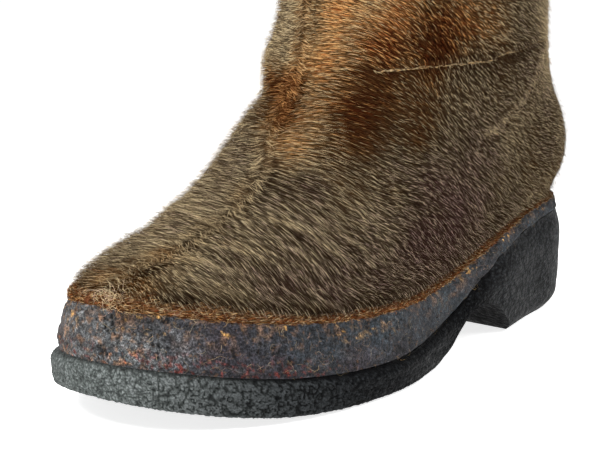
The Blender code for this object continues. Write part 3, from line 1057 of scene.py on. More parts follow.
# %% [markdown]
# ## Collar binding
# The photograph cuts the shaft off below the collar, so the collar is finished plainly: a leather
# strip folded over the edge of hide and lining. Its section is a flattened U, carried round the
# collar's ring: down the outside, over the top, and down the inside.
# A bevelled curve would make a round cord of it, and a folded strip is flat.

# %% Binding round the collar
BINDING = table(
    "out rise",
    (-2.6, -9.0),
    (-1.3, -8.6),
    (-1.0, -6.0),
    (-1.0, -2.0),
    (-1.5, -0.2),
    (-3.2, 0.7),
    (-4.9, -0.2),
    (-5.6, -2.0),
    (-5.7, -6.0),
    (-5.4, -8.6),
    (-4.6, -9.0),
)
BINDING_COLUMNS = 300
UP = np.array([0.0, 0.0, 1.0])


def rounded_section(profile, count):
    """A smooth curve through a profile's rows: how far out and how high, at even steps along it."""
    rows = np.arange(len(profile["out"]))
    at = np.linspace(0.0, len(rows) - 1.0, count)
    return curve(at, rows, profile["out"]), curve(at, rows, profile["rise"])


collar_face = upper_surface(BINDING_COLUMNS, SHAFT_LEVELS)
collar_out = normals_of(collar_face)[-1] * np.array([1.0, 1.0, 0.0])
out, up = rounded_section(BINDING, 21)
binding = collar_face[-1][None] + collar_out[None] * out[:, None, None] + UP * up[:, None, None]
binding = binding + collar_out[None] * (0.18 * soft_noise(binding, 7.0, 75))[..., None]
leather_look, tree, shader = finish("binding_leather", 0.6, 0.3)
worn_leather = ramp(tree, grain(tree, 6.0, 5.0), (0.3, paint(58, 38, 26)), (0.7, paint(98, 66, 42)))
tree.links.new(worn_leather, shader.inputs["Base Color"])
bumps(tree, shader, grain(tree, 0.8, 3.0), 0.25, 0.8)
binding_piece = sew("collar_binding", [patch(binding, ring=True, strips=4)], leather_look)
seat(binding_piece, "fur")

# %% [markdown]
# ## The coat: colour by place
# Reindeer hair is dark at the root and pale at the tip. What changes over the hide is how pale and how rusty
# the tips are. A painted picture would be stuck to one unwrapping, so both are worked out for any place on
# the boot: a base, then listed patches that pull the two values towards their own, then soft noise. Hue runs
# from 0, plum-grey, by olive, tan and gold to 1, deep rust, and tone from 0, dark brown, to 1, pale.

# %% Patches of the coat
COAT = table(
    "x y z reach hue tone weight",
    (33, 12, 142, 17, 0.80, 0.88, 1.0),
    (37, 9, 124, 15, 0.79, 1.00, 1.0),
    (46, 11, 104, 13, 0.80, 0.86, 0.9),
    (55, 9, 92, 13, 0.80, 0.72, 0.9),
    (33, -15, 138, 16, 0.42, 0.76, 0.9),
    (36, -14, 122, 14, 0.42, 0.74, 0.9),
    (41, -13, 114, 8, 0.96, 0.12, 0.8),
    (43, -3, 115, 6, 0.94, 0.12, 0.8),
    (45, -7, 107, 10, 1.00, 0.02, 1.0),
    (52, -1, 102, 6, 0.98, 0.16, 0.9),
    # Painted shadow: the next three rows darken a thin line along the notch's crease.
    (45, -13, 106.5, 3.5, 0.70, 0.00, 0.9),
    (50, -8, 103.5, 3.5, 0.70, 0.00, 0.9),
    (54, -4, 100, 3.5, 0.70, 0.02, 0.9),
    # Painted light: the next three rows make the back edge of the outer side pale grey, a painted rim of
    # light where hair is seen edge-on against the bright wall.
    (-82, 43, 140, 17, 0.24, 0.95, 0.9),
    (-88, 38, 122, 13, 0.24, 0.85, 0.9),
    (-98, 31, 106, 12, 0.24, 0.70, 0.8),
    (24, 26, 128, 9, 0.94, 0.52, 0.7),
    (13, 32, 139, 14, 0.88, 0.74, 0.95),
    (19, 29, 128.5, 9, 1.00, 0.26, 0.95),
    (0, 39, 129, 13, 0.92, -0.10, 1.0),
    (-2, 40, 139, 9, 0.94, 0.06, 0.8),
    (-13, 43.5, 140, 10, 0.90, 0.34, 0.8),
    (-26, 47, 138, 16, 0.80, 0.42, 0.85),
    (26, 26, 102, 18, 1.00, -0.14, 1.0),
    (4, 35, 102, 17, 0.96, -0.02, 0.95),
    (-12, 39, 93, 13, 0.50, 0.06, 0.8),
    (-5, 38.5, 111, 8, 0.90, 0.26, 0.7),
    (10, 34, 116, 8, 0.70, 0.28, 0.8),
    (-16, 43, 115, 10, 0.50, 0.36, 0.8),
    (-22, 43, 106, 15, 0.32, 0.36, 0.8),
    (-43, 47, 115, 9, 0.60, 0.10, 0.8),
    (-60, 44, 112, 14, 0.30, 0.36, 0.7),
    (8, 35, 80, 20, 0.08, 0.21, 0.9),
    (6, 35.5, 92, 10, 0.85, 0.02, 0.85),
    (20, 36, 71, 8, 0.80, 0.22, 0.5),
    (-24, 40, 70, 24, 0.06, 0.25, 0.9),
    (2, 38, 48, 22, 0.06, 0.10, 0.9),
    (-19, 37.5, 55, 12, 0.03, 0.10, 0.8),
    (42, 42, 43, 20, 0.10, 0.26, 0.8),
    (62, 24, 64, 20, 0.26, 0.44, 0.8),
    (86, 14, 63, 20, 0.34, 0.60, 0.8),
    (112, 9, 56, 17, 0.38, 0.95, 0.9),
    (100, 26, 51, 14, 0.26, 0.56, 0.7),
    (84, 36, 45, 7, 0.10, 0.08, 0.8),
    (95, 30, 48, 7, 0.12, 0.14, 0.7),
    (70, 42, 43, 10, 0.14, 0.26, 0.7),
    (63.6, 14.5, 75.2, 5, 0.18, 0.04, 0.8),
    (53.5, 21, 74.8, 5, 0.14, 0.06, 0.8),
    (112, -2, 58, 7, 0.92, 0.34, 0.7),
    (77, 1, 75, 7, 0.86, 0.40, 0.6),
    (88, -15, 68, 24, 0.32, 0.66, 0.9),
    (112, -18, 58, 14, 0.30, 0.62, 0.8),
    (-90, 34, 84, 22, 0.28, 0.20, 0.8),
    (-83, 35, 72, 10, 0.60, 0.10, 0.7),
    (-64, 34, 62, 18, 0.30, 0.16, 0.8),
    (138, -6, 51, 9, 0.90, 0.40, 0.8),
    (134, 10, 50, 9, 0.84, 0.50, 0.8),
)
BASE_HUE = 0.40
BASE_TONE = 0.28
print(len(COAT["x"]), "patches, from hue", COAT["hue"].min(), "to", COAT["hue"].max())

# %% [markdown]
# Seams and folds shade the coat as well. The hair along the front seam is rustier. A fold or wave that stands
# up is painted pale along its crest, as painted light where its hair faces the lamp, and dark just below, as
# painted shadow where the hair above it throws its shadow; the ankle fold gets only the shadow. The lowest
# hair of the vamp, in a thin band just above the trimmed edge, is painted darker as the shadow under the
# clipped ends.

# %% Hue and tone at a place
ARCS = ("vamp_arc", "toe_arc", "ball_arc", "side_arc", "low_arc")
SEAM_HUE = 0.92
SEAM_TONE = 0.42


def above_felt(points):
    """Height over the felt's top edge."""
    return points[..., 2] - sole_of(share_of(points[..., 0]), "felt_top")


def coat(points):
    """Hue and tone of the coat at each point: the base with broad noise, pulled towards each patch by its
    weight on a bell curve, made rustier and darker along the front seam, given painted light and shade along
    the folds and above the trimmed edge on bell curves too, and mottled by fine noise."""
    hue = BASE_HUE + 0.22 * soft_noise(points, 42.0, 80)
    tone = BASE_TONE + 0.22 * soft_noise(points, 30.0, 81)
    for x, y, z, reach, to_hue, to_tone, weight in zip(*COAT.values()):
        away = np.sum((points - (x, y, z)) ** 2, axis=-1)
        pull = weight * np.exp(-away / reach**2)
        hue = hue + (to_hue - hue) * pull
        tone = tone + (to_tone - tone) * pull
    gap, _ = beside(points, drawn["front_seam"])
    pull = (0.25 + 0.45 * step(95.0, 112.0, points[..., 2])) * bell(gap, 4.0)
    hue = hue + (SEAM_HUE - hue) * pull
    tone = tone + (SEAM_TONE - tone) * pull
    tone = tone - 0.05 * bell(gap, 1.6)
    # Painted shadow: a thin dark band on the vamp's lowest hair, just above the trimmed edge, under the
    # clipped ends.
    tone = tone - 0.12 * bell(above_felt(points) - 5.0, 1.8) * step(30.0, 60.0, points[..., 0])
    # Painted light along the heel fold's crest, and painted shadow below it.
    gap, above = beside(points, drawn["heel_fold"])
    tone = tone + 0.30 * bell(gap, 1.8) - 0.15 * bell(gap, 6.0) * (1.0 - step(-1.5, 0.0, above))
    # Painted shadow below the ankle fold.
    gap, above = beside(points, drawn["ankle_fold"])
    tone = tone - 0.30 * bell(gap, 5.0) * (1.0 - step(-1.0, 1.5, above))
    # Painted light along each wave's crest, and painted shadow below it.
    for name in ARCS:
        gap, above = beside(points, drawn[name])
        tone = tone + 0.50 * bell(gap, 1.3)
        tone = tone - 0.32 * bell(gap, 4.5) * (1.0 - step(-1.8, -0.4, above))
    hue = hue + 0.08 * soft_noise(points, 9.0, 82)
    tone = tone * (1.0 + 0.14 * soft_noise(points, 9.0, 83) + 0.12 * soft_noise(points, 3.5, 84))
    return np.clip(hue, 0.0, 1.0), np.clip(tone, 0.0, 1.0)


hide_hue, hide_tone = coat(hide)
print(f"coat: hue {hide_hue.mean():.2f}, tone {hide_tone.min():.2f} to {hide_tone.max():.2f}")

# %% [markdown]
# The hide takes a dark copy of the coat's colours, because it shows between the hairs as their downy
# undercoat. A bare brown skin there would make every gap in the hair a spot.

# %% Hide under the hair
TIPS = (
    (0.00, (188, 156, 142), (34, 14, 13)),
    (0.20, (194, 176, 140), (34, 22, 14)),
    (0.48, (200, 174, 130), (36, 21, 12)),
    (0.74, (224, 168, 102), (38, 18, 8)),
    (1.00, (188, 92, 40), (36, 12, 5)),
)
UNDERCOAT = 0.6


def tip_tint(hue, tone):
    """Colour of a hair's tip: the hue's dark and pale colours mixed by the tone."""
    places = [place for place, _, _ in TIPS]
    ends = np.array([[paint(*colour)[:3] for colour in (dark, pale)] for _, pale, dark in TIPS])
    ends = [[np.interp(hue, places, ends[:, end, c]) for c in range(3)] for end in range(2)]
    dark, pale = np.moveaxis(ends, 1, -1)
    return dark + (pale - dark) * tone[..., None]


under = UNDERCOAT * tip_tint(hide_hue, 0.35 * hide_tone**2).reshape(-1, 3)
hide_look, tree, shader = finish("hide", 0.85, 0.0)
under_colour = node(tree, "Attribute", attribute_name="under").outputs["Color"]
downy = ramp(tree, grain(tree, 1.2, 4.0), (0.3, grey(0.4)), (0.7, grey(1.5)))
tree.links.new(mixed(tree, 1.0, under_colour, downy, "MULTIPLY"), shader.inputs["Base Color"])
bumps(tree, shader, grain(tree, 1.0, 3.0), 0.5, 0.8)
hide_piece = sew("hide", [patch(hide, ring=True, strips=2)], hide_look, {"under": with_alpha(under)})
seat(hide_piece, "fur", "fur_upper")

# %% [markdown]
# ## The lie of the hair
# Hair lies in streams: away from the front seam on both sides, then back and down round the foot.
# The stream is known at some given points. In between it is their mean, weighted by nearness, and it is then
# laid flat against the hide.
# Hair could be brushed by hand in Blender, but a script couldn't repeat that.

# %% Streams of the coat
STREAM = table(
    "x y z dx dy dz",
    (36, 7, 131, -0.37, 0.93, 0.0),
    (31, 13, 138, -0.45, 0.85, -0.2),
    (20, 28, 132, -0.55, 0.53, -0.65),
    (-4, 40, 123, -0.2, 0.0, -0.98),
    (34, 20, 105, -0.7, 0.65, -0.3),
    (16, 31, 101, -0.8, 0.33, -0.5),
    (-7, 39, 108, -0.6, 0.16, -0.78),
    (-41, 45, 108, -0.86, -0.15, -0.47),
    (52, 11, 93, -0.6, 0.77, -0.2),
    (-24, 37, 50, -0.55, 0.06, -0.83),
    (7, 37, 49, -0.45, 0.15, -0.88),
    (-60, 35, 64, -0.7, -0.2, -0.68),
    (-93, 33, 70, -0.92, -0.16, -0.36),
    (17, 34, 72, -0.88, 0.26, -0.4),
    (-27, 48, 137, -0.7, 0.18, -0.66),
    (73, 35, 48, 0.22, 0.75, -0.62),
    (88, 39, 44, 0.1, 0.68, -0.73),
    (110, 13, 55, 0.0, 0.93, -0.37),
    (87, 10, 65, 0.05, 0.86, -0.5),
    (39, 35, 54, -0.58, 0.24, -0.78),
    (39, 44, 40, 0.2, 0.62, -0.75),
    (62, 10, 81, -0.58, 0.76, -0.28),
    (41, 25, 78, -0.62, 0.5, -0.6),
    (63, 20, 69, -0.15, 0.65, -0.75),
    (134, 10, 51, 0.4, 0.8, -0.4),
    (76, 4, 74, -0.08, 0.88, -0.46),
    (98, 3, 63, 0.03, 0.92, -0.4),
    (66, 5, 82, -0.21, 0.84, -0.49),
    (58, 5, 91, -0.58, 0.81, -0.13),
    (53, 4, 99, -0.5, 0.86, -0.08),
    (51, 21, 77, -0.59, 0.55, -0.59),
    (97, 22, 54, 0.14, 0.8, -0.58),
    (101, -11, 64, 0.28, -0.95, -0.16),
    (112, -9, 60, 0.45, -0.88, -0.13),
    (123, -7, 56, 0.75, -0.64, -0.17),
    (136, -10, 51, 0.7, -0.6, -0.4),
    (90, -6, 69, 0.27, -0.96, -0.08),
    (66, -7, 87, 0.14, -0.98, -0.14),
    (57, -5, 97, 0.26, -0.93, -0.26),
    (35, -12, 131, -0.4, -0.9, -0.1),
    (90, -36, 48, 0.1, -0.7, -0.7),
    (40, -34, 70, -0.5, -0.5, -0.7),
    (20, -32, 110, -0.7, -0.4, -0.6),
    (-20, -46, 120, -0.6, -0.1, -0.8),
    (-20, -40, 70, -0.6, -0.1, -0.8),
    (-80, -36, 80, -0.85, 0.1, -0.5),
    (-147, -3, 85, -0.3, 0.0, -0.95),
    (-120, -3, 140, -0.2, 0.0, -0.98),
    (33, 9, 190, -0.3, 0.75, -0.6),
    (33, -9, 190, -0.3, -0.75, -0.6),
    (-30, 52, 200, -0.45, 0.0, -0.9),
    (-30, -52, 200, -0.45, 0.0, -0.9),
    (-108, 0, 210, -0.1, 0.0, -1.0),
    (36, 9, 270, -0.2, 0.6, -0.8),
    (36, -9, 270, -0.2, -0.6, -0.8),
    (-30, 56, 270, -0.35, 0.0, -0.93),
    (-30, -56, 270, -0.35, 0.0, -0.93),
)
STREAM_REACH = 12.0


def side_of(x, y, z):
    """+1 on the outer side of the front seam, -1 on the inner side. Along the seam, x less z always grows,
    so that difference finds the seam's own y."""
    line = drawn["front_seam"]
    return np.sign(y - np.interp(x - z, line[:, 0] - line[:, 2], line[:, 1]))


def stream(points, normals):
    """Unit direction of the hair along the hide: the mean of the keys on its own side of the seam, weighted
    by nearness, less its part along the normal. Keys on the back seam count for both sides."""
    total = np.zeros_like(points)
    side = side_of(*points.T)
    for x, y, z, *way in zip(*STREAM.values()):
        away = np.sum((points - (x, y, z)) ** 2, axis=-1)
        on_back_seam = x < -100.0 and abs(y) < 4.0
        counts = True if on_back_seam else side == side_of(x, y, z)
        total += np.array(way) * (counts / (away + STREAM_REACH**2) ** 2 * 1e6)[:, None]
    return unit(total - normals * np.sum(total * normals, axis=-1, keepdims=True))


print(len(STREAM["x"]), "stream keys")

# %% [markdown]
# ## Hair as blades
# A guard hair is a blade of two triangles: a root point, two wide points at half length, and a tip. It
# rises from the hide as a dark stem and bends flat at its pale tip. The shorter hair below it is a
# single triangle. Blender's own hair curves would be lost in the export, and tubes would need ten times
# the triangles. All hairs of a piece are one mesh made from arrays.
#
# Their colour comes from a chart instead of a texture: each hair takes one column of the chart by its
# hue and tone, and runs up that column from root to tip.

# %% Directions and chart columns
HUE_STEPS = 10
TONE_STEPS = 16
COLUMN_SIDE = 0.3
HAIR_ROLL = 0.5


def turned(ways, normals, angle):
    """Directions turned about the normals by an angle."""
    side = np.cross(normals, ways)
    return ways * np.cos(angle)[:, None] + side * np.sin(angle)[:, None]


def leaned(ways, normals, lift):
    """Directions raised off the surface by an angle."""
    return ways * np.cos(lift)[:, None] + normals * np.sin(lift)[:, None]


def chart_u(hue, tone, sides):
    """Place across the chart: the centre of the column for a hue and a tone, moved to one of its sides."""
    hue_step = np.clip(np.round(hue * (HUE_STEPS - 1)), 0, HUE_STEPS - 1)
    tone_step = np.clip(np.round(tone * (TONE_STEPS - 1)), 0, TONE_STEPS - 1)
    centre = (hue_step * TONE_STEPS + tone_step + 0.5)[:, None] / HUE_STEPS / TONE_STEPS
    return centre + COLUMN_SIDE * np.array(sides) / HUE_STEPS / TONE_STEPS


def rolled_side(ways, normals, rng):
    """Unit vectors across each hair, rolled about it by a random angle."""
    sides = unit(np.cross(ways, normals))
    roll = rng.normal(0.0, HAIR_ROLL, len(ways))[:, None]
    return sides * np.cos(roll) + np.cross(ways, sides) * np.sin(roll)


print(HUE_STEPS * TONE_STEPS, "columns in the chart")

# %% [markdown]
# Each maker returns the points of all its hairs, the faces of a single one, and where every point lies
# on the chart. So hairs of several kinds can be grown together as one mesh.

# %% Blade maker
STEM = 0.5
TIP_LIFT = 3.0
WISP_LIFT = 0.65


def blades(roots, normals, ways, length, width, lift, hue, tone, rng, foot=0.01):
    """Root, two wide points and a tip for each hair. The stem rises at the lift, the rest at a third of it.
    The foot is where the root lies on the chart."""
    stem_way, tip_way = leaned(ways, normals, lift), leaned(ways, normals, lift / TIP_LIFT)
    wide_at = roots + stem_way * (STEM * length)[:, None]
    wide = rolled_side(stem_way, normals, rng) * (width / 2.0)[:, None]
    tip = wide_at + tip_way * ((1.0 - STEM) * length)[:, None]
    points = np.stack([roots, wide_at - wide, wide_at + wide, tip], axis=1)
    u = chart_u(hue, tone, [1, -1, 1, -1])
    chart = np.stack([u, np.broadcast_to([foot, 0.5, 0.5, 0.99], u.shape)], axis=-1)
    return points, np.array([[0, 1, 2], [1, 3, 2]]), chart


def wisps(roots, normals, ways, length, width, lift, hue, tone, rng):
    """Two root points and a tip for each short hair, which is straight."""
    way = leaned(ways, normals, WISP_LIFT * lift)
    wide = rolled_side(way, normals, rng) * (width / 2.0)[:, None]
    points = np.stack([roots - wide, roots + way * length[:, None], roots + wide], axis=1)
    u = chart_u(hue, tone, [-1, 1, 1])
    chart = np.stack([u, np.broadcast_to([0.20, 0.99, 0.20], u.shape)], axis=-1)
    return points, np.array([[0, 1, 2]]), chart


def grow(name, *kinds):
    """One mesh from several kinds of hair: the points, the corners of one hair's faces and the places on
    the chart of each kind."""
    points, faces, chart, first = [], [], [], 0
    for hair, corners, places in kinds:
        count, each = hair.shape[:2]
        points.append(hair.reshape(-1, 3))
        faces.append((first + np.arange(count)[:, None, None] * each + corners).reshape(-1, 3))
        chart.append(places[:, corners.ravel()].reshape(-1, 2))
        first += count * each
    chart = np.concatenate(chart)
    maps = [("chart", chart), ("OFBake", chart)]
    return build(name, np.concatenate(points), np.concatenate(faces), hair_look, maps)


print("a guard hair bends at", STEM, "of its length")

# %% [markdown]
# The chart itself is three ramps. One gives the pale tip of each hue and one its dark tip, the tone
# mixes the two, and the last one runs from the nearly black root to the tip.

# %% Hair finish
HAIR_ROOT = paint(24, 13, 8)

hair_look, tree, shader = finish("reindeer_hair", 0.6, 0.0)
on_chart = node(tree, "SeparateXYZ", {0: node(tree, "UVMap", uv_map="chart").outputs["UV"]}).outputs
spread = node(tree, "Math", {0: on_chart["X"], 1: float(HUE_STEPS)}, operation="MULTIPLY").outputs[0]
hue_number = node(tree, "Math", {0: spread}, operation="FLOOR").outputs[0]
hue_share = node(tree, "Math", {0: hue_number, 1: HUE_STEPS - 1.0}, operation="DIVIDE").outputs[0]
tone_share = node(tree, "Math", {0: spread}, operation="FRACT").outputs[0]
pale_tip = ramp(tree, hue_share, *[(place, paint(*colour)) for place, colour, _ in TIPS])
dark_tip = ramp(tree, hue_share, *[(place, paint(*colour)) for place, _, colour in TIPS])
tip_colour = mixed(tree, tone_share, dark_tip, pale_tip)
growth_stops = ((0.0, grey(0.0)), (0.26, grey(0.04)), (0.40, grey(0.40)), (0.54, grey(1.0)))
grown = ramp(tree, on_chart["Y"], *growth_stops)
tree.links.new(mixed(tree, grown, HAIR_ROOT, tip_colour), shader.inputs["Base Color"])
print("hair finish: a root, and", len(TIPS), "pale and dark tips")

# %% [markdown]
# ## Growing the coat
# Roots are spread evenly by area: the hide's faces are laid end to end by their area, and roots fall
# on that line at nearly even steps. Purely random roots would leave bald spots and tufts.

# %% Roots
def scattered(grid, normals, count, rng, density):
    """Points and normals spread over a ring surface: a random place in faces chosen by area and density."""
    low, high = grid[:-1], grid[1:]
    ahead, diagonal = np.roll(low, -1, axis=1), np.roll(high, -1, axis=1)
    area = np.linalg.norm(np.cross(diagonal - low, ahead - high), axis=-1) / 2.0
    middle = (low + high + ahead + diagonal) / 4.0
    sums = np.cumsum((area * density(middle)).ravel())
    face = np.searchsorted(sums, (np.arange(count) + rng.random(count)) / count * sums[-1])
    row, column = np.divmod(np.minimum(face, area.size - 1), grid.shape[1])
    u, v = rng.random((2, count, 1))
    beside_column = (column + 1) % grid.shape[1]

    def between(values):
        """Values at the random places: mixed along the face by u, then up it by v."""
        lower = values[row, column] * (1.0 - u) + values[row, beside_column] * u
        upper = values[row + 1, column] * (1.0 - u) + values[row + 1, beside_column] * u
        return lower * (1.0 - v) + upper * v

    found = between(normals)
    return between(grid), unit(found)


def everywhere(points):
    """The same density all over."""
    return np.ones(points.shape[:2])


def hair_density(points):
    """None on the trimmed edge or under the binding, thinner up the shaft, full elsewhere."""
    bare = step(1.5, 3.5, above_felt(points))
    thinner = 1.0 - 0.35 * step(145.0, 170.0, points[..., 2])
    return bare * thinner * (points[..., 2] < COLLAR_Z - BINDING_DROP + 1.0)


print("shaft keeps", hair_density(np.array([-30.0, 50.0, 200.0])).round(2), "of the foot's hair")

# %% [markdown]
# The coat lies combed on the vamp and the shin. On the sides of the ankle it stands up, shorter and more
# tousled. It is short on the shin, longer on the foot, and clipped near the felt. The colour of a hair
# is the coat's where its tip comes to lie, so patches have soft edges.

# %% Combed hair
HAIR_LENGTH = 7.4
SHIN_SHORTER = 0.22
SIDE_SHORTER = 0.38
LYING_LIFT = 0.38
STANDING_LIFT = 0.62
LEAST_TOUSLE = 0.35


def uprightness(points):
    """1 on the sides of the ankle, where the hair stands; 0 on the vamp and shin, where it lies combed."""
    sides = step(18.0, 34.0, np.abs(points[:, 1])) * (1.0 - step(40.0, 78.0, points[:, 0]))
    return np.maximum(sides, 0.6 * (1.0 - step(-14.0, -2.0, points[:, 1])))


def combed(count, rng):
    """Roots with their normals, directions, lengths, lifts, hues and tones, for one kind of hair. Each
    size is its mean at the place, plus soft noise, plus a random share of its own."""
    roots, normals = scattered(hide, normals_of(hide), count, rng, hair_density)
    upright = uprightness(roots)
    tousle = LEAST_TOUSLE + (1.0 - LEAST_TOUSLE) * upright
    swirl = 0.18 * soft_noise(roots, 9.0, 90) + 0.16 * soft_noise(roots, 2.5, 91)
    swirl = swirl + rng.normal(0.0, 0.16, count)
    ways = turned(stream(roots, normals), normals, swirl * tousle)
    rear = 0.5 * (1.0 - step(-100.0, -50.0, roots[:, 0]))
    length = HAIR_LENGTH + 1.0 * soft_noise(roots, 20.0, 92) + rng.normal(0.0, 0.9, count)
    length *= np.clip((above_felt(roots) + 1.0) / 9.0, 0.45 + rear, 1.0)
    length *= (1.0 - SHIN_SHORTER * step(90.0, 120.0, roots[:, 2])) * (1.0 - SIDE_SHORTER * upright)
    lift = LYING_LIFT + STANDING_LIFT * upright + 0.16 * tousle * soft_noise(roots, 6.0, 93)
    parting = bell(beside(roots, drawn["front_seam"])[0], 3.5)
    lift = lift + rng.normal(0.0, 0.14, count) * tousle + 0.1 * parting
    hue, tone = coat(roots + leaned(ways, normals, 0.7 * lift) * (0.75 * length)[:, None])
    hue = hue + rng.normal(0.0, 0.09, count)
    return dict(roots=roots, normals=normals, ways=ways, length=length, lift=lift, hue=hue, tone=tone)


tried = combed(2000, np.random.default_rng(1))
print(f"hairs {tried['length'].mean():.1f} mm long, lifted {np.degrees(tried['lift'].mean()):.0f} degrees")

# %% [markdown]
# Seen close, the coat is grizzled: pale-tipped hairs stand among dark ones, and a paler place simply has
# more of them. A few strays stick out longest and draw the soft outline. Under them lies a shorter,
# darker growth that closes the gaps.

# %% Grizzled coat
GUARD_HAIRS = 215000
SHORT_HAIRS = 105000
PALE_WIDTH = 0.16
DARK_WIDTH = 0.15
STRAY_LIFT = 0.5
STRAY_LONGER = 0.35
STRAY_FINER = 0.3
SHORT_LENGTH = 0.70


def grizzle(hairs, rng):
    """Splits the coat into pale-tipped and dark hairs. The pale share grows with the tone and is spread
    evenly: a hair is pale where the running sum of shares passes a whole number. Pale tips are greyer than
    their surroundings, and dark ones lighten with the tone's square."""
    hue, tone, count = hairs["hue"], hairs["tone"], len(hairs["tone"])
    upright = uprightness(hairs["roots"])
    pale_share = 0.04 + 0.10 * step(0.0, 0.18, tone) + 0.27 * tone
    pale = np.diff(np.floor(np.cumsum(pale_share)), prepend=0.0) > 0.0
    rusty = step(0.6, 0.9, hue)
    greyer = (0.04 + 0.8 * hue) * (0.5 + 0.5 * np.maximum(tone, rusty))
    pale_tone = 0.57 + 0.08 * upright - 0.1 * rusty * (1.0 - tone) + 0.6 * tone
    dark_tone = 0.46 * tone**2 + 0.22 * rusty * tone
    hairs["hue"] = np.where(pale, greyer, hue)
    hairs["tone"] = np.where(pale, pale_tone, dark_tone) + rng.normal(0.0, 0.06, count)
    hairs["width"] = np.where(pale, PALE_WIDTH, DARK_WIDTH) * rng.uniform(0.85, 1.2, count)
    return pale.mean()


rng = np.random.default_rng(7)
guard = combed(GUARD_HAIRS, rng)
guard_pale = grizzle(guard, rng)
stray_share = 0.12 + 0.2 * (1.0 - step(-12.0, -2.0, guard["roots"][:, 1]))
stray = rng.random(GUARD_HAIRS) < stray_share
guard["lift"] += STRAY_LIFT * stray
guard["length"] *= 1.0 + STRAY_LONGER * stray
guard["width"] *= 1.0 - STRAY_FINER * stray
short = combed(SHORT_HAIRS, rng)
short["tone"] = 0.4 * short["tone"] ** 3 + rng.normal(0.0, 0.03, SHORT_HAIRS)
short["length"] *= SHORT_LENGTH
short["width"] = rng.uniform(0.20, 0.34, SHORT_HAIRS)
print(f"{GUARD_HAIRS} guard hairs, {guard_pale:.0%} of them pale, over {SHORT_HAIRS} short ones")

# %% [markdown]
# One mesh for the whole coat would be too heavy to export well, so it is cut into six pieces, by height
# and by side of the boot. The cuts don't show, because every hair keeps its own place.

# %% Coat pieces by region
REGIONS = {
    "fur_foot_outer": ((0.0, 106.0), 1.0),
    "fur_foot_inner": ((0.0, 106.0), -1.0),
    "fur_ankle_outer": ((106.0, 170.0), 1.0),
    "fur_ankle_inner": ((106.0, 170.0), -1.0),
    "fur_shaft_outer": ((170.0, COLLAR_Z), 1.0),
    "fur_shaft_inner": ((170.0, COLLAR_Z), -1.0),
}
MIDDLE_Y = -2.0


def within(hairs, heights, side):
    """The hairs whose roots lie between two heights on one side."""
    off_middle, height = hairs["roots"][:, 1] - MIDDLE_Y, hairs["roots"][:, 2]
    here = (height >= heights[0]) & (height < heights[1]) & (np.where(off_middle > 0.0, 1.0, -1.0) == side)
    return {name: values[here] for name, values in hairs.items()}


for name, region in REGIONS.items():
    fur = grow(name, blades(**within(guard, *region), rng=rng), wisps(**within(short, *region), rng=rng))
    seat(fur, "fur")

# %% [markdown]
# On the two sharp folds the hair stands up and its pale tips meet, which draws a thin cream line; the ankle
# fold's row is painted the palest cream, partly the tips' own colour and partly painted highlight where the
# standing hair catches the light. Down the back, short hair grows over the seam. Both are rows of extra hairs
# with their roots along a line, lying nearly along it.

# %% Rows of hair along the folds
FOLD_HAIRS = {
    # Partly painted highlight: this row is the palest cream.
    "ankle_fold": dict(
        count=280, hue=0.45, tone=1.00, spread=0.08, lift=0.10, length=2.4, sunk=0.4, fan=0.15, fade=0.6
    ),
    "heel_fold": dict(
        count=360, hue=0.26, tone=0.62, spread=0.7, lift=0.4, length=3.0, sunk=1.2, fan=0.5, fade=-0.15
    ),
    "back_seam": dict(
        count=1600, hue=0.50, tone=0.30, spread=1.0, lift=0.45, length=4.6, sunk=2.6, fan=0.35, fade=0.0
    ),
}
rng = np.random.default_rng(9)
hide_points = hide.reshape(-1, 3)[::3]
hide_normals = normals_of(hide).reshape(-1, 3)[::3]


def rooted_along(line, at, sunk, spread, rng):
    """Roots at places along a line, sunk below it and strayed a little, with the normals of the nearest
    points of the hide and the line's own way, laid flat against them."""
    on_line = curve(at, np.arange(len(line)), line)
    nearest = [
        np.linalg.norm(some[:, None] - hide_points[None], axis=-1).argmin(axis=1)
        for some in np.array_split(on_line, 8)
    ]
    normals = hide_normals[np.concatenate(nearest)]
    way = np.gradient(line, axis=0)[at.astype(int)]
    way = way - normals * np.sum(way * normals, axis=1, keepdims=True)
    return on_line - normals * sunk + rng.normal(0.0, spread, (len(at), 3)), normals, unit(way)


for name, row in FOLD_HAIRS.items():
    count = row["count"]
    at = np.sort(rng.uniform(1.0, len(drawn[name]) - 2.0, count))
    roots, normals, ways = rooted_along(drawn[name], at, row["sunk"], row["spread"], rng)
    hairs = blades(
        roots, normals, turned(ways, normals, rng.normal(0.0, row["fan"], count)),
        length=row["length"] * rng.uniform(0.7, 1.3, count), width=rng.uniform(0.10, 0.18, count),
        lift=rng.normal(row["lift"], 0.2, count), hue=rng.normal(row["hue"], 0.12, count),
        tone=rng.normal(row["tone"], 0.12, count) - row["fade"] * at / len(drawn[name]), rng=rng,
    )
    seat(grow(name + "_hairs", hairs), "fur")

# %% [markdown]
# At the front seam the coat parts, and short hair leans off it to both sides. These hairs take the
# coat's own colours, and show no dark roots, because they lie flat over the stitches.

# %% Hair along the front seam
SEAM_HAIRS = 6000
SEAM_SUNK = 0.9
SEAM_SPREAD = 0.9
SEAM_FOOT = 0.42

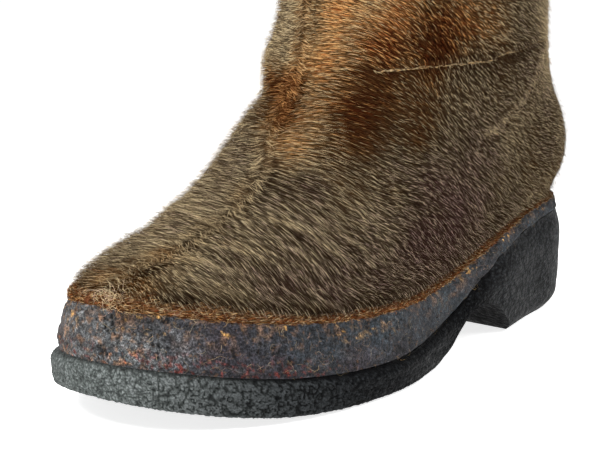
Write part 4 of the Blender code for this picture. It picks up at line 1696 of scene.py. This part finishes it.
at = np.sort(rng.uniform(0.5, len(drawn["front_seam"]) - 2.0, SEAM_HAIRS))
roots, normals, ways = rooted_along(drawn["front_seam"], at, SEAM_SUNK, SEAM_SPREAD, rng)
off_line = rng.normal(1.25, 0.3, SEAM_HAIRS) * np.where(np.arange(SEAM_HAIRS) % 2, 1.0, -1.0)
parted = dict(
    roots=roots, normals=normals, ways=turned(ways, normals, off_line),
    length=rng.uniform(3.0, 6.5, SEAM_HAIRS), lift=rng.normal(0.14, 0.12, SEAM_HAIRS),
)
parted["hue"], parted["tone"] = coat(roots + 2.5 * parted["ways"])
grizzle(parted, rng)
seat(grow("front_seam_hairs", blades(**parted, rng=rng, foot=SEAM_FOOT)), "fur")

# %% [markdown]
# ## Trimmed edge of the hide
# Where the hide meets the felt it was cut and turned under, and the raw edge shows as a rusty rim a
# few millimetres high, thicker at the toe. A row of hairs alone would leave a gap above the felt, so a
# rolled section is carried round the felt's top edge and made ragged by noise.

# %% Raw edge
EDGE_COLUMNS = 700
EDGE_ROWS = 17
EDGE = table(
    "out rise", (-4.0, -0.3), (-0.5, -0.5), (0.1, 0.1), (0.1, 0.9), (-0.3, 1.8), (-1.3, 2.8), (-3.2, 4.0)
)

edge_share, _ = ring_shares(EDGE_COLUMNS)
edge_x, edge_y = sole_ring(EDGE_COLUMNS, felt_inset(edge_share, np.ones(EDGE_COLUMNS)))
edge_foot = np.column_stack([edge_x, edge_y, sole_of(share_of(edge_x), "felt_top")])
ahead = np.roll(edge_foot, -1, axis=0) - np.roll(edge_foot, 1, axis=0)
edge_out = unit(np.column_stack([-ahead[:, 1], ahead[:, 0], np.zeros(EDGE_COLUMNS)]))
out, up = rounded_section(EDGE, EDGE_ROWS)
taller = 0.6 + 0.65 * step(80.0, 120.0, edge_x) - 0.3 * (1.0 - step(-80.0, 0.0, edge_x))
ragged = 1.0 + 0.28 * soft_noise(edge_foot, 6.0, 100)
edge_grid = edge_foot[None] + edge_out[None] * out[:, None, None]
edge_grid = edge_grid + UP * (up[:, None] * (taller * ragged)[None])[..., None]
shaggy = 0.30 * soft_noise(edge_grid, 2.4, 101) + 0.22 * soft_noise(edge_grid, 1.1, 102)
edge_grid = edge_grid + normals_of(edge_grid) * shaggy[..., None]
edge_look, tree, shader = finish("raw_hide_edge", 0.85, 0.0)
raw_stops = ((0.28, paint(46, 24, 15)), (0.5, paint(88, 52, 33)), (0.75, paint(126, 88, 62)))
tree.links.new(ramp(tree, grain(tree, 2.2, 4.0), *raw_stops), shader.inputs["Base Color"])
bumps(tree, shader, grain(tree, 0.7, 4.0), 0.5)
edge_piece = sew("hide_edge", [patch(edge_grid, ring=True, strips=5)], edge_look)
seat(edge_piece, "fur")

# %% [markdown]
# Clipped hair covers the rim. It lies flat along the edge and points backwards on both sides of the
# boot, rust-brown with some pale streaks, and is a little longer at the toe.

# %% Stubble on the edge
STUBBLE = 18000
STREAK_SHARE = 0.14
RIM_FROM = 3

rng = np.random.default_rng(8)
rim, rim_normals = edge_grid[RIM_FROM:], normals_of(edge_grid)[RIM_FROM:]
stub_roots, stub_normals = scattered(rim, rim_normals, STUBBLE, rng, everywhere)
backward = unit(np.cross(UP, stub_normals) * np.sign(stub_roots[:, 1:2] + 6.0))
stub_ways = turned(backward, stub_normals, rng.normal(0.0, 0.22, STUBBLE))
longer = 0.65 + 0.35 * step(70.0, 120.0, stub_roots[:, 0])
stub_length = rng.uniform(1.5, 5.0, STUBBLE) * longer
streak = rng.random(STUBBLE) < STREAK_SHARE
stub_hue = np.where(streak, 0.45, 0.78) + rng.normal(0.0, 0.16, STUBBLE)
stub_tone = np.where(streak, 0.75, 0.12) + rng.normal(0.0, 0.16, STUBBLE)
stubble = blades(
    stub_roots, stub_normals, stub_ways, stub_length, rng.uniform(0.14, 0.26, STUBBLE),
    rng.normal(0.10, 0.10, STUBBLE), stub_hue, stub_tone, rng,
)
seat(grow("edge_stubble", stubble), "fur")

# %% [markdown]
# ## Loose fibres
# Felt sheds: single wool fibres curl on its wall, and a tangle of them hangs at the toe, where the
# hide is stitched down. Bevelled curves would be heavy tubes for something so thin, so each fibre is
# a flat ribbon along a curl. Its direction turns as it goes, and it bows away from the surface in
# the middle.

# %% Fibre maker
FIBRE_STEPS = 6


def fibres(roots, normals, length, curl, bow, width, hue, tone, rng):
    """Ribbons: even steps in a turning direction, plus a bow off the surface that follows half a sine."""
    count = len(roots)
    s = np.linspace(0.0, 1.0, FIBRE_STEPS + 1)
    start = turned(unit(np.cross(normals, UP)), normals, rng.uniform(0.0, 2.0 * math.pi, count))
    angle = curl[:, None] * s + rng.normal(0.0, 0.25, (count, FIBRE_STEPS + 1)).cumsum(axis=1)
    beside_way = np.cross(normals, start)
    way = start[:, None] * np.cos(angle)[..., None] + beside_way[:, None] * np.sin(angle)[..., None]
    path = roots[:, None] + np.cumsum(way, axis=1) * (length / FIBRE_STEPS)[:, None, None]
    path = path + normals[:, None] * (0.2 + bow[:, None] * np.sin(math.pi * s))[..., None]
    wide = np.cross(normals[:, None], way) * (width[:, None] * (1.0 - 0.7 * s) / 2.0)[..., None]
    points = np.stack([path - wide, path + wide], axis=2).reshape(count, -1, 3)
    near_end = 2 * np.arange(FIBRE_STEPS)[:, None]
    corners = (near_end[..., None] + np.array([[0, 2, 1], [1, 2, 3]])).reshape(-1, 3)
    u = chart_u(hue, tone, np.tile([-1, 1], FIBRE_STEPS + 1))
    chart = np.stack([u, np.broadcast_to(np.repeat(0.7 + 0.25 * s, 2), u.shape)], axis=-1)
    return points, corners, chart


def strands(count, lengths, curl, bows, widths, hues, tones, rng):
    """Random sizes and colours for a number of fibres. Lengths, bows and widths are lowest and highest,
    curl is a spread about straight, and hues and tones are mean and spread."""
    return dict(
        length=rng.uniform(*lengths, count), curl=rng.normal(0.0, curl, count), bow=rng.uniform(*bows, count),
        width=rng.uniform(*widths, count), hue=rng.normal(*hues, count), tone=rng.normal(*tones, count),
        rng=rng,
    )


print("a fibre has", 2 * FIBRE_STEPS, "triangles")

# %% [markdown]
# Three lots of fibres are strewn: short dull ones all over the felt, a pale tangle at one place on the
# toe, and frayed ends along the hide's edge, most of them near the toe.

# %% Fibres on the felt and at the toe
SHED = 900
TANGLED = 44
FRAYED = 300
TANGLE_AT = (140.5, 4.0, 48.0)
TANGLE_REACH = 3.0
FRAY_FROM = 2


def round_the_tangle(points):
    """Dense at one place on the toe, falling off on a bell curve."""
    return np.exp(-np.sum((points - TANGLE_AT) ** 2, axis=-1) / TANGLE_REACH**2)


def mostly_forward(points):
    """Sparse along the boot, dense at the toe."""
    return step(90.0, 142.0, points[..., 0]) + 0.15


rng = np.random.default_rng(10)
fray, fray_normals = edge_grid[FRAY_FROM:], normals_of(edge_grid)[FRAY_FROM:]
on_felt = scattered(felt, normals_of(felt), SHED, rng, everywhere)
at_toe = scattered(fray, fray_normals, TANGLED, rng, round_the_tangle)
on_edge = scattered(fray, fray_normals, FRAYED, rng, mostly_forward)
shed = strands(SHED, (2.0, 6.0), 2.5, (0.1, 0.6), (0.05, 0.10), (0.2, 0.2), (0.30, 0.26), rng)
shed = fibres(*on_felt, **shed)
tangle = strands(TANGLED, (4.0, 9.0), 4.5, (0.4, 3.0), (0.10, 0.18), (0.2, 0.1), (1.0, 0.1), rng)
tangle = fibres(*at_toe, **tangle)
frayed = strands(FRAYED, (2.0, 5.0), 3.0, (0.3, 1.3), (0.07, 0.13), (0.5, 0.2), (0.65, 0.2), rng)
frayed = fibres(*on_edge, **frayed)
seat(grow("felt_fibres", shed), "felt")
seat(grow("frayed_fibres", tangle, frayed), "fur")

# %% [markdown]
# ## Insole
# A loose pad of felt lies inside on the midsole. It is barely seen from the collar, so it could be left
# out, but a boot without it would show bare felt below. It is a flat pad with a rounded rim: a few
# rings round its outline, closed by a grid above and one below.

# %% Felt pad
INSOLE_INSET = 13.5
INSOLE_TOE_STOP = 0.93
INSOLE_THICKNESS = 3.0
INSOLE_COLUMNS = 240
PAD_COLUMNS = 24
PAD_RIM = ((0.8, 0.0), (0.1, 0.6), (0.0, 1.5), (0.2, 2.5), (1.2, INSOLE_THICKNESS))


def insole_ring(inset, rise):
    """The outline moved in, shortened to stop before the low toe, and raised over the felt."""
    px, py = sole_ring(INSOLE_COLUMNS, INSOLE_INSET + inset)
    px = SOLE_BACK_X + (px - SOLE_BACK_X) * SOLE_LENGTH * INSOLE_TOE_STOP / (SOLE_LENGTH - INSOLE_INSET)
    return np.column_stack([px, py, sole_of(share_of(px), "felt_top") + SEAT_GAP + rise])


rim_grid = np.array([insole_ring(*row) for row in PAD_RIM])
pad_top, pad_bottom = across(rim_grid[-1], PAD_COLUMNS), across(rim_grid[0], PAD_COLUMNS)
trodden = step(0.0, 0.3, 1.0 - np.linspace(-1.0, 1.0, PAD_COLUMNS) ** 2)
pad_top[..., 2] += (0.35 * soft_noise(pad_top, 16.0, 110) - 0.3) * trodden
pad_look, tree, shader = finish("insole_pad", 0.95)
pressed = ramp(tree, grain(tree, 7.0, 5.0), (0.3, paint(112, 100, 82)), (0.7, paint(158, 146, 122)))
tree.links.new(pressed, shader.inputs["Base Color"])
bumps(tree, shader, grain(tree, 1.0, 4.0), 0.5)
pad = sew(
    "insole_pad",
    [
        patch(rim_grid, ring=True, strips=2, high=0.2),
        patch(pad_top, low=0.21, high=0.6),
        patch(pad_bottom, flip=True, low=0.61),
    ],
    pad_look,
)
seat(pad, "insole_felt", "insole")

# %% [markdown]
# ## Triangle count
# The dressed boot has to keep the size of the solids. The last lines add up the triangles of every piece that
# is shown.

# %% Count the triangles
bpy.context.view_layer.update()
total = sum(triangles(piece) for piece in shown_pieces() if not piece.hide_render)
